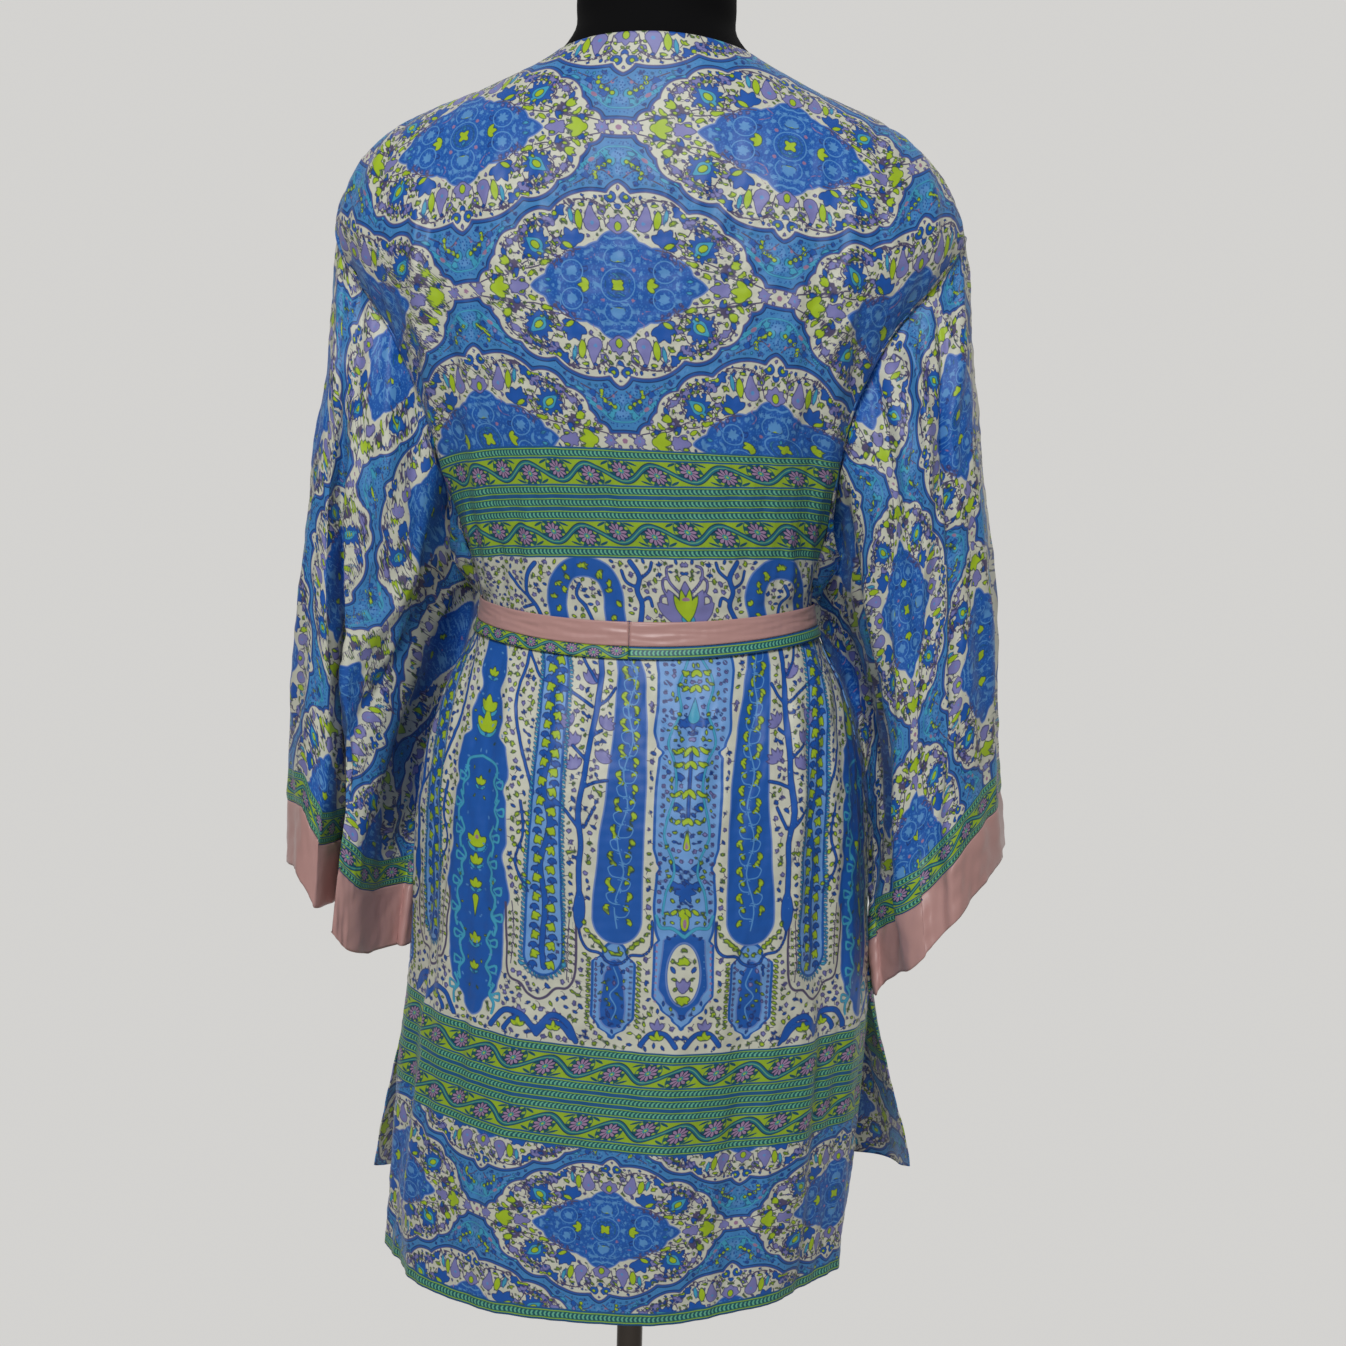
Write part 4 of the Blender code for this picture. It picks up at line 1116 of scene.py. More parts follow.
GROUND_KINDS = (
    "spray lime", "spray lime", "spray bloom", "flower lilac", "leaf lime", "leaf bloom", "spray lilac",
)
BELL_KINDS = (
    "spray pale", "leaf teal", "flower teal", "leaf bloom", "spray bloom", "leaf pale", "leaf lilac",
)
CELL = tuple(CELL) + tuple(filled_in(
    CELL, (0, 108, 0, 66), GROUND_KINDS, (3.4, 2.7), 41, lambda u, v: -2.2 - cell_outline(u, v)))
CELL += tuple(filled_in(
    [row for row in CELL if row[0] != "panel"], (0, 58, 0, 36), ("leaf pale", "leaf teal", "flower pale"),
    (2.4, 1.7), 42, lambda u, v: -1.4 - drawn(u, v, MEDALLION)[:, 0], 2600, 1.5))
FINE_CELL = CELL + tuple(filled_in(
    CELL, (0, 108, 0, 66), GROUND_KINDS, (1.9, 1.5), 44, lambda u, v: -2.0 - cell_outline(u, v)))
BELL = tuple(BELL) + tuple(filled_in(
    BELL, (0, 56, 0, 56), BELL_KINDS, (2.8, 2.1, 1.5), 43,
    lambda u, v: np.minimum(cell_outline(u, CELL_HALF[1] - v), cell_outline(CELL_HALF[0] - u, v)) - 3.2))


def lattice(u, v, drawing=FINE_CELL):
    """Distance outside the cells, and the inks, of the lattice with a cell's centre at 0, 0."""
    wide, high = CELL_HALF
    first_u, first_v = (np.abs(np.mod(c + half, 2 * half) - half) for c, half in ((u, wide), (v, high)))
    best = cell_outline(first_u, first_v)
    other = cell_outline(wide - first_u, high - first_v)
    nearer = other < best
    best = np.where(nearer, other, best)
    cu, cv = np.where(nearer, wide - first_u, first_u), np.where(nearer, high - first_v, first_v)
    sheet = drawn(cu, cv, drawing)
    rim = (best > -1.6) & (cu < 84)
    sheet[rim] = np.maximum(sheet[rim], 1.2)
    tip_u = np.minimum(first_u, wide - first_u)
    tip_v = np.where(first_u < wide - first_u, high - first_v, first_v)
    bells = drawn(tip_u, tip_v, BELL)
    sheet = np.where((best > 1.0)[:, None], bells, sheet)
    return np.maximum(best, -19.0), sheet


# The panel between the bands, mirrored about the column in its middle, and about the cartouche

PANEL_HALF = 151.0
COLUMN = [(74, 0, 26), (100, 0, 25), (118, 0, 26), (129, 0, 23), (133, 0, 19), (137, 0, 21.5), (160, 0, 22.5),
          (196, 0, 22), (206, 0, 19.5), (210, 0, 17.5), (214, 0, 19.5), (236, 0, 21), (248, 0, 20)]


def at_row(rows, v, column):
    """A column's value at v, straight between rows that begin with theirs."""
    return np.interp(v, [row[0] for row in rows], [row[column] for row in rows])


def panel_rows():
    rows = []
    # The long column in the middle, with its stem of leaves
    rows += tall("wash", COLUMN)
    for v in np.arange(66, 250, 6.4):
        rows.append(("lilac", "ring", 20.5 if v < 125 else 17.5, v, 0, 1.2, 0.4))
    rows += sketch("""
line teal 0.7  0 60  6 72  12 88  9 104  14 118  16 128  11 140  9 158  14 178  15 190  9 204  8 214
    13 226  15 240; line bloom 1.1  0 132  0 150  0 168  0 176; fan bloom 5 36 9 1.8  0 109 90;
drop teal 0 104 -90 9 4
    """)
    for v, size in ((76, 1.0), (86, 1.1), (128, 1.5), (138, 1.2), (157, 1.3), (176, 1.0), (236, 1.2)):
        rows += put(fan("lime", 2, 64, 7 * size, 1.7), 0, v, 90)
        rows += put(fan("lime", 1, 0, 6 * size, 1.5), 4.5, v + 1, 40)
    for v in (112, 148, 168, 208, 220):
        rows += put(MOTIFS["maple"], 6.5, v, 60, 0.55)
    rows += sketch("""
drop lime 0 190 -90 8 2.4; drop pink 0 193 -90 4 1.2; petals bloom 0 226 0 7.5 6;
oval lime 0 246 90 6 3; oval pink 0 247 90 3.4 1.2
    """)
    for v in np.arange(70, 245, 9.0):
        rows += put(MOTIFS["small_crown"], 10.5 + 2 * math.sin(v), v, 30 + 7 * v, 0.5)
    rows += sketch("""
line teal 1  0 256  8 250  16 250  19 243
    """)
    # The pointed medallion below it
    rows += sketch("""
tall wash  258 0 17  262 0 20  296 0 20  304 0 14  312 0 6  317 0 1;
tall panel  254 0 5  258 0 14  290 0 16.5  298 0 12  308 0 3
    """)
    for v in np.arange(260, 298, 4.2):
        rows.append(("pale", "disc", 13.7, v, 0, 0.7, 0))
        rows.append(("pink", "disc", 18.6, v + 2, 0, 1.1, 0))
    rows += sketch("""
oval ground 0 281 90 21.5 11.5; fan lime 5 40 6 1.4  0 274 -90; fan lilac 3 26 12 1.7  0 294 -90;
fan lime 5 34 7 1.5  0 296 90; buds 1.4  6 272  5.5 283  6 290  2 264
    """)
    # The long drop beside it, and the small drop below
    drop = [(60, 46, 7.5), (90, 44, 10), (120, 42.5, 11.5), (160, 42.5, 13.5), (200, 44.5, 15.5),
            (240, 46, 17), (246, 46, 17)]
    rows += tall("panel", drop)
    rows += sketch("""
line pale 0.45  45 66  41 84  45 104  40 126  45 148  41 170  47 192  42 214  48 236  46 252
    """)
    for k, v in enumerate(np.arange(70, 250, 9.0)):
        half, middle = at_row(drop, v, 2) * 0.5, at_row(drop, v, 1)
        way = -1 if k % 2 else 1
        rows += curve("pale", [(middle, v + 4), (middle + way * half * 0.7, v + 3),
                               (middle + way * half, v - 2), (middle + way * half * 0.6, v - 4)], 0.35)
        rows += put(fan("lime", 3, 48, 4.2, 1.0), middle + way * half * 0.55, v - 3.5, 200 + 60 * way)
        rows += put(fan("lime", 3, 44, 4.6, 1.1), middle + way * half * 1.15, v + 5.5, 90 + 50 * way)
        rows += put([("lime", "leaf", 0, 0, 0, 2.3, 1.1)], middle - way * half * 0.8, v + 1, 90 - 35 * way)
    rows += sketch("""
tall wash  270 47 8  276 47.5 14.5  312 47.5 14.5  320 47.5 9  325 47.5 2
    """)
    for v in np.arange(274, 318, 3.6):
        for way in (-1, 1):
            rows.append(("lilac", "disc", 47.5 + way * 12, v, 0, 1.0, 0))
            rows += put([("lime", "leaf", 1.5, 0, 0, 2.4, 1.0)], 47.5 + way * 16, v, 90 - way * 60)
    rows += sketch("""
tall panel  277 47.5 3.5  286 47.5 7  308 47.5 9  312 47.5 8.5;
line pale 0.45  47.5 280  44 290  50 298  45 306  47.5 314; buds 1.2  50 288  45 296  51 304  46 312
    """)
    # The scalloped line below the long drop
    rows += sketch("""
line bloom 0.9  22 246  22 262  27 269  36 270  41 275  47 277  53 275  57 270  66 268  71 260  72 252
    """)
    for k in range(16):
        turn = math.radians(8 + 164 * k / 15)
        u, v = 46 + 21 * math.cos(turn), 247 + 21.5 * math.sin(turn)
        rows += put(MOTIFS["small_crown"], u, v, 60 * k, 0.55)
    # The tree
    rows += sketch("""
line bloom 1.9  64 60  66 92  67 110  70 132  72 152  75 176  72 196  73 214  72 240;
oval bloom 72 242 90 13 4.2; line bloom 1.05  67 104  60 98  55 90;
line bloom 1.05  70 104  80 98  94 92  110 88  118 72  118 58; line bloom 1.05  66 84  64 70  66 56;
line bloom 1.05  69 86  76 74  80 58; line bloom 1.05  73 160  64 156  56 154;
line bloom 1.05  75 186  84 176  92 170; line bloom 1.05  70 186  66 178  63 172;
line bloom 1.05  73 140  82 132; line bloom 1.05  70 126  62 120
    """)
    for place in (
        (74, 88, 250), (80, 132, 300), (62, 142, 240), (84, 118, 320), (62, 118, 230), (78, 148, 300),
    ):
        rows += put(fan("lilac", 5, 26, 12, 1.6), *place, 0.95)
    rows += [("pale", "disc", 72 + math.sin(v), v, 0, 0.6, 0) for v in np.arange(100, 250, 7.0)]
    # The bead-edged drop beyond it
    far = [(60, 98, 9), (120, 98, 9.5), (180, 98, 10.5), (230, 97.5, 12.5), (270, 97, 13.5), (276, 97, 13.5)]
    rows += tall("wash", far)
    for v in np.arange(62, 286, 3.3):
        half = at_row(far, v, 2) + 1.6
        for way in (-1, 1):
            rows.append(("teal", "leaf", 97.7 + way * half, v, 90 + 55 * way, 2.3, 0.9))
    for k in range(13):
        turn = 12 * k + 18
        rows.append(("teal", "leaf", *arc_point(97, 276, 15.5, turn / 180), turn, 2.4, 0.9))
    rows += sketch("""
line bloom 1.9  97 66  99 100  96 130  100 160  94 186  100 214  96 240  98 270  96 284
    """)
    for k, v in enumerate(np.arange(66, 286, 6.5)):
        half = at_row(far, v, 2)
        rows += put(MOTIFS["crown"], 97.5 + (-1) ** k * half * 0.5, v, 90 + (-1) ** k * 30, 0.62)
        rows += put(fan("bloom", 3, 40, 6, 1.2), 97.5 - (-1) ** k * half * 0.5, v, 90)
    rows += sketch("""
line stem 0.9  74 252  74 284  79 296  88 298  94 304  100 306  107 303  112 297  122 292  125 270
    126 246; line bloom 1.1  118 70  127 104  120 136  108 168
    """)
    rows += sprig([(117, 174), (114, 196), (119, 216), (109, 234)], 0.9, 2.1, 5.5, stem="bloom", reach=4.0)
    rows += sketch("""
sprig lime 0.4 1.6 5  121 244  119 262  120 284; sprig lime 0.4 1.6 5  79 250  80 268  80 290
    """)
    # The cartouche
    rows += tall("panel", [(v, PANEL_HALF, half) for v, half in (
        (60, 7), (76, 11), (92, 13), (104, 9), (112, 13), (124, 16), (134, 14), (142, 21), (160, 24),
        (170, 21), (178, 24), (204, 25), (214, 22), (226, 25), (242, 28), (252, 24), (262, 23), (290, 23),
        (304, 20), (318, 9))])
    for k in range(9):
        v = 160 + 18 * k
        side = PANEL_HALF - 15 - 2.5 * math.sin(k * 1.7)
        rows += curve("teal", [(side, v), (side + 3, v + 6), (side - 1, v + 12), (side, v + 18)], 0.9)
        rows += curve("teal", [(side, v + 6), (side - 5, v + 4), (side - 5, v + 9), (side - 2, v + 9)], 0.7)
    rows += curve("teal", [(PANEL_HALF - 15, 162), (PANEL_HALF - 13, 154), (PANEL_HALF, 150)], 0.9)
    for v, size in (
        (120, 1.5), (134, 1.9), (212, 1.6), (224, 1.1), (240, 1.0), (278, 1.1), (296, 0.9), (96, 0.9),
        (170, 0.9),
    ):
        rows += put(fan("lime", 3, 44, 8, 1.8), PANEL_HALF, v, -90, size)
        rows += put(fan("teal", 2, 110, 7, 1.2), PANEL_HALF, v + 3, -90, size)
    rows += [("lime", "drop", PANEL_HALF, 252, 90, 8, 2.6), ("pink", "disc", PANEL_HALF, 205, 0, 1.6, 0)]
    for k in range(40):
        u, v = PANEL_HALF - 2 - 19 * ((k * 0.618) % 1), 66 + 6.2 * k
        rows.append(("pale" if k % 3 else "lime", "leaf", u, v, 77 * k, 1.7, 0.8))
    # The scrolls along its foot
    for u0 in (16, 88, 112):
        rows += curve("bloom", [(u0 - 13, 330), (u0 - 6, 322), (u0 + 4, 322), (u0 + 11, 330)], 1.7)
        rows += put(fan("lilac", 3, 40, 9, 1.6), u0, 320, -90) + put(fan("lime", 3, 60, 7, 1.5), u0, 326, -90)
    rows += sketch("""
line bloom 1.9  72 332  78 320  90 316  100 326  110 318  124 318  134 330
    """)
    # Above the belt: the lotus, the trees beside it and the drops' curled tops
    rows += sketch("""
fan lilac 5 24 33 5  0 47 -90; fan lime 4 15 25 2.6  0 43 -90; drop teal 0 36 -90 10 4.5;
oval pink 0 27 0 3 1.3; drop lime 0 39 -90 4 1.8
    """)
    for side, v0 in ((11, 6), (14, 14), (16, 26)):
        curl = [(side * 0.4, v0 + 16), (side, v0 + 8), (side + 1, v0), (side - 3, v0 - 2)]
        rows += curve("lilac", curl, 0.8)
    rows += sketch("""
line bloom 1.7  37 2  31 12  33 22  30 32  34 46; line bloom 1  31 14  24 8  22 2;
line bloom 1  32 20  40 16  43 8; line bloom 1  31 30  25 26  23 32
    """)
    arch = [(51, 56), (50, 40), (50, 24), (56, 11), (68, 6), (80, 8), (88, 17), (91, 30), (91, 46)]
    rows += curve("panel", arch, 7.0, 5)
    for k, t in enumerate(np.linspace(0.0, 8.0, 17)):
        u = np.interp(t, range(9), [p[0] for p in arch])
        v = np.interp(t, range(9), [p[1] for p in arch])
        rows += put(MOTIFS["small_crown"], u + 2.4 * (-1) ** k, v, 70 * k, 0.7)
    rows += sketch("""
line bloom 1.2  66 46  70 34  76 26  73 18; buds 1.6  62 36  62 44  74 40  70 46;
line bloom 1.6  104 50  108 38  114 26  112 12  106 4; line bloom 1.1  112 30  122 24  130 12;
line bloom 1  110 36  120 40
    """)
    return rows


PANEL = panel_rows()


def tall_forms(u, v):
    """Inks of the forms that run down the panel, with the ground kept inside its own forms."""
    sheet = blank(len(u))
    cream = np.full(len(u), FAR)
    for ink, shape, x, y, turn, a, b in PANEL:
        if shape in TALL:
            at, middle, half = TALL[shape]
            near = np.nonzero((v > at[0] - FAR - half[0]) & (v < at[-1] + FAR + half[-1]))[0]
            w = smooth_at(at, half, v[near])
            aside = np.abs(u[near] - smooth_at(at, middle, v[near])) - w
            beyond = np.maximum(np.maximum(at[0] - v[near], v[near] - at[-1]), 0.0)
            value = np.where(beyond > 0, np.hypot(np.maximum(aside + w, 0.0), beyond) - w, aside)
            k = INKS.index(ink)
            sheet[near, k] = np.minimum(sheet[near, k], value)
        elif ink == "ground":
            cream = np.minimum(cream, shape_oval(v - y, u - x, a, b))
    for k in (INKS.index("panel"), INKS.index("wash")):
        sheet[:, k] = np.maximum(sheet[:, k], -cream)
    return sheet


def panel_print(u, v):
    """Inks of the panel, u from its middle column and v down from the band above it."""
    u = np.abs(np.mod(u + 2 * PANEL_HALF, 4 * PANEL_HALF) - 2 * PANEL_HALF)
    u = np.minimum(u, 2 * PANEL_HALF - u)
    return drawn(u, v, FORMS, tall_forms(u, v))


def smooth_at(at, values, v):
    """Values between table rows, eased so that notches stay soft."""
    t = np.clip(np.interp(v, at, np.arange(len(at))), 0, len(at) - 1)
    k = np.minimum(t.astype(int), len(at) - 2)
    f = t - k
    f = f * f * (3 - 2 * f)
    return values[k] * (1 - f) + values[k + 1] * f


FORMS = [row for row in PANEL if row[1] in SHAPES and row[0] != "ground"]
LINES = [row for row in FORMS if row[0] not in ("panel", "wash")]
for kinds, sizes, seed, room in (
    (GROUND_KINDS, (3.6, 2.8, 2.1, 1.6), 51, lambda u, v: tall_forms(u, v)[:, :2].min(axis=1) - 1.0),
    (("spray lime", "spray lime", "spray pale"), (3.0, 2.2), 52, lambda u, v: -1.5 - tall_forms(u, v)[:, 0]),
    (("leaf bloom", "spray bloom", "flower lilac", "leaf lime"), (2.6, 1.9, 1.5), 53,
     lambda u, v: -1.5 - tall_forms(u, v)[:, 1]),
):
    FORMS += filled_in(LINES if seed > 51 else FORMS, (0, 151, 1, 333), kinds, sizes, seed, room, 14000)


# Where the print lies on the robe's cloth, with cloth lengths in metres

# Down the back: down, the print's middle, its widening, and how its level lines tilt and bow
LEVELS = read_rows("""
0 12 0.9 0 -22
0.068 11.5 0.91 -1 -23
0.184 4.5 1 -2 -18
0.292 -1 1.08 3 -17
0.366 -38 1 2 -5
0.4 -39 1 2 -2
0.445 -47.5 1 2 0
0.7 -47 1 4.5 0
0.768 -8 1 4.5 0
0.885 -8 1 2 0
""", "")
UPPER_ROWS = ((-150.0, 0.0, 32.0, 73.0, 112.5, 183.0, 251.0, 287.0, 400.0),
              (-331.0, -181.0, -149.0, -109.0, -69.0, 0.0, 69.0, 109.0, 222.0))
BAND_EDGES = (292.5, 366.4, 701.0, 768.0)
BAND_UNITS = 77.0
LOWER_CELL = (0.845, 0.70, 821.0)
STRIPE = BAND_UNITS / 9
HEM_STRIPE = 0.0085


def laid(x, d):
    """The print's own across and down for points of a panel's flat cut, in millimetres."""
    centre, stretch, tilt, bow = (at_row(LEVELS, d, column) for column in (1, 2, 3, 4))
    x = x * 1000.0 - centre
    bowed = np.where(np.abs(x) < 190, (np.abs(x) / 107.0) ** 2.3, 3.74)
    return x * stretch, d * 1000.0 + tilt * x / 100.0 + bow * bowed


def band_across(down, d):
    """How far across the nearest border band, in the band's own units."""
    top, bottom, low_top, low_bottom = BAND_EDGES
    downs = (top - 20, top, bottom, bottom + 19, low_top - 17, low_top, low_bottom, low_bottom + 17)
    units = (-20.0, 0.0, BAND_UNITS, BAND_UNITS + 20, BAND_UNITS + 20, BAND_UNITS, 0.0, -20.0)
    across = np.interp(down, downs, units)
    return np.where(d > HEM_BACK - 0.015, (d - HEM_BACK + HEM_STRIPE) * 1000.0, across)


def packed(cell, across, along, sheet, shape):
    fields = {"lay": np.stack([cell, across, along], axis=-1)}
    for k, name in enumerate(FIELDS):
        fields[name] = sheet[:, 3 * k : 3 * k + 3]
    return {name: values.reshape(*shape, 3) for name, values in fields.items()}


def panel_cloth_print(flat, shift=0.0):
    """The print of the back or of a front: lattice, band, panel, band, lattice, hem stripe."""
    shape = flat.shape[:2]
    x, d = flat[..., 0].ravel() + shift, flat[..., 1].ravel()
    u, down = laid(x, d)
    cell, sheet = np.full(len(u), -20.0), blank(len(u))
    middle = (BAND_EDGES[0] + BAND_EDGES[1]) / 2, (BAND_EDGES[2] + BAND_EDGES[3]) / 2
    upper, panel, lower = down < middle[0], (down >= middle[0]) & (down < middle[1]), down >= middle[1]
    cell[upper], sheet[upper] = lattice(u[upper], np.interp(down[upper], *UPPER_ROWS))
    sheet[panel] = panel_print(u[panel], down[panel] - BAND_EDGES[1])
    wide, high, middle_row = LOWER_CELL
    cell[lower], sheet[lower] = lattice(u[lower] / wide, (down[lower] - middle_row) / high)
    return packed(cell, band_across(down, d), u, sheet, shape)


def sleeve_cloth_print(flat, shift, scale=0.80, border=0.024):
    """The sleeve's print: the lattice turned on its side, and a band above the cuff's seam."""
    shape = flat.shape[:2]
    across, down = flat[..., 0].ravel() * 1000.0, flat[..., 1].ravel() * 1000.0
    cell, sheet = lattice((down + shift[1]) / scale, (across + shift[0]) / scale, CELL)
    band = np.maximum((down / 1000.0 + border) / border * 4 * STRIPE, -20.0)
    return packed(cell, band, across, sheet, shape)

# Materials

def set_inputs(node, values):
    for name, value in values.items():
        node.inputs[name].default_value = value


def new_node(tree, kind, values={}):
    node = tree.nodes.new(kind)
    set_inputs(node, values)
    return node


class Wire:
    """A number inside a material, with arithmetic that adds nodes."""

    def __init__(self, tree, socket):
        self.tree, self.socket = tree, socket

    def math(self, kind, *others):
        node = self.tree.nodes.new("ShaderNodeMath")
        node.operation = kind
        for place, value in enumerate((self, *others)):
            if isinstance(value, Wire):
                self.tree.links.new(value.socket, node.inputs[place])
            else:
                node.inputs[place].default_value = value
        return Wire(self.tree, node.outputs[0])

    def __add__(self, other):
        return self.math("ADD", other)

    def __sub__(self, other):
        return self.math("SUBTRACT", other)

    def __mul__(self, other):
        return self.math("MULTIPLY", other)

    def __truediv__(self, other):
        return self.math("DIVIDE", other)

    def above(self, level, soft=0.3):
        """0 below a level and 1 above it."""
        ends = {"From Min": level - soft, "From Max": level + soft}
        node = new_node(self.tree, "ShaderNodeMapRange", ends)
        self.tree.links.new(self.socket, node.inputs["Value"])
        return Wire(self.tree, node.outputs["Result"])

    def below(self, level, soft=0.3):
        made = self.above(level, soft)
        set_inputs(made.socket.node, {"To Min": 1.0, "To Max": 0.0})
        return made

    def within(self, low, high, soft=0.3):
        return self.above(low, soft) * self.below(high, soft)


def material(name, colour, roughness, metallic=0.0, sheen=0.0, specular=0.5):
    made = bpy.data.materials.new(name)
    made.use_nodes = True
    set_inputs(made.node_tree.nodes["Principled BSDF"], {
        "Base Color": (*colour, 1.0), "Roughness": roughness, "Metallic": metallic,
        "Sheen Weight": sheen, "Sheen Roughness": 0.4, "Specular IOR Level": specular,
    })
    return made


def linear(colour):
    """A colour as seen on screen, in the renderer's own numbers."""
    return tuple(((c + 0.055) / 1.055) ** 2.4 if c > 0.04 else c / 12.92 for c in colour) + (1.0,)


def over(tree, under, colour, share):
    """One colour laid over another by a share from 0 to 1."""
    node = tree.nodes.new("ShaderNodeMix")
    node.data_type = "RGBA"
    tree.links.new(share.socket, node.inputs["Factor"])
    for place, value in ((6, under), (7, colour)):
        if isinstance(value, tuple):
            node.inputs[place].default_value = linear(value)
        else:
            tree.links.new(value, node.inputs[place])
    return node.outputs[2]


def attribute(tree, name):
    """The three numbers of a point attribute."""
    node = tree.nodes.new("ShaderNodeAttribute")
    node.attribute_name = name
    parts = tree.nodes.new("ShaderNodeSeparateXYZ")
    tree.links.new(node.outputs["Vector"], parts.inputs[0])
    return [Wire(tree, socket) for socket in parts.outputs]


def flat_place(tree, scale):
    """The flat cut's coordinates, scaled, for textures."""
    uv = tree.nodes.new("ShaderNodeUVMap")
    uv.uv_map = "flat"
    grown = tree.nodes.new("ShaderNodeVectorMath")
    grown.operation = "MULTIPLY"
    grown.inputs[1].default_value = (scale[0], scale[1], 1.0)
    tree.links.new(uv.outputs[0], grown.inputs[0])
    return grown.outputs[0]


def noise(tree, scale, detail=2.0):
    node = new_node(tree, "ShaderNodeTexNoise", {"Scale": 1.0, "Detail": detail})
    node.noise_dimensions = "2D"
    tree.links.new(flat_place(tree, scale), node.inputs["Vector"])
    return Wire(tree, node.outputs[0])


CREAM = (0.85, 0.855, 0.79)
NAVY = (0.10, 0.17, 0.38)
PAINT = (  # ink, fill, edge colour, half the edge's width
    ("wash", (0.46, 0.66, 0.90), (0.12, 0.38, 0.72), 1.0),
    ("panel", (0.11, 0.37, 0.72), (0.42, 0.54, 0.80), 0.5),
    ("stem", (0.34, 0.31, 0.44), None, 0.0),
    ("lilac", (0.52, 0.52, 0.76), (0.24, 0.24, 0.46), 0.28),
    ("bloom", (0.10, 0.36, 0.72), (0.10, 0.20, 0.46), 0.26),
    ("teal", (0.27, 0.66, 0.80), (0.10, 0.32, 0.54), 0.25),
    ("lime", (0.68, 0.80, 0.15), (0.16, 0.28, 0.24), 0.28),
    ("pale", (0.36, 0.60, 0.84), None, 0.0),
    ("pink", (0.64, 0.48, 0.62), None, 0.0),
)
CELL_LINES = ((-0.4, (0.36, 0.34, 0.55)), (0.5, (0.12, 0.36, 0.68)), (2.1, NAVY), (2.8, (0.27, 0.55, 0.80)))


def border(tree, across, along):
    """The border band: rows of beads, and vines with flowers in their bends."""
    s = across / STRIPE
    t = (s - 4.5).math("ABSOLUTE")
    f = ((t + 0.5).math("FRACT") - 0.5).math("ABSOLUTE")
    colour = over(tree, (0.08, 0.36, 0.40), (0.10, 0.36, 0.58), f.above(0.33, 0.03))
    colour = over(tree, colour, (0.58, 0.76, 0.20), f.within(0.26, 0.34, 0.02))
    chevron = (along / 3.0 + f * 1.3).math("FRACT").within(0.18, 0.62, 0.10) * f.below(0.19, 0.03)
    colour = over(tree, colour, (0.44, 0.76, 0.62), chevron)
    # The vine, folded so that every bend rises
    half = 24.0
    k = (along / half).math("FLOOR")
    a = along - (k + 0.5) * half
    flip = (k / 2.0).math("FRACT").above(0.25, 0.1) * 2.0 - 1.0
    y = (t - 2.5) * STRIPE * flip
    crest = (a * (math.pi / half)).math("COSINE") * 5.6
    up = y + 1.6
    r = (a * a + up * up).math("SQRT")
    turn = up.math("ARCTAN2", a)
    spokes = (turn * 9.0).math("COSINE")
    vine = over(tree, (0.62, 0.75, 0.17), (0.07, 0.34, 0.40), r.below(9.0, 0.3))
    vine = over(tree, vine, (0.64, 0.77, 0.20), r.within(6.4, 8.4, 0.3) * spokes.above(0.35, 0.25))
    off = (y - crest).math("ABSOLUTE")
    aside = a.math("ABSOLUTE") - 17.5
    for middle, rise, long, wide in (
        (0.0, 3.9, 5.2, 1.5), (5.0, 6.6, 3.0, 1.1), (-3.5, 6.6, 3.2, 0.9), (-7.5, -6.8, 3.4, 0.9),
    ):
        p = (aside - middle) / long
        q = (y - rise - (aside - middle) * 0.35) / wide
        vine = over(tree, vine, (0.06, 0.33, 0.42), (p * p + q * q).below(1.0, 0.25))
    petal = (turn * 10.0).math("COSINE") * 0.9 + 5.2
    ribs = (r - petal).below(0.0, 0.25) * (turn * 10.0).math("COSINE").above(-0.6, 0.2)
    for tone, where in (
        ((0.05, 0.18, 0.32), off.below(2.3, 0.25)),
        ((0.10, 0.44, 0.54), off.below(1.6, 0.25)),
        ((0.44, 0.70, 0.50), off.below(0.35, 0.2)),
        ((0.12, 0.16, 0.32), (r - petal).below(0.8, 0.25)),
        ((0.66, 0.54, 0.68), ribs),
        ((0.20, 0.60, 0.62), r.below(1.9, 0.25)),
        ((0.70, 0.80, 0.22), r.below(0.8, 0.25)),
    ):
        vine = over(tree, vine, tone, where)
    inside = t.within(1.5, 3.5, 0.02)
    return over(tree, colour, vine, inside), s.within(0.0, 9.0, 0.03)


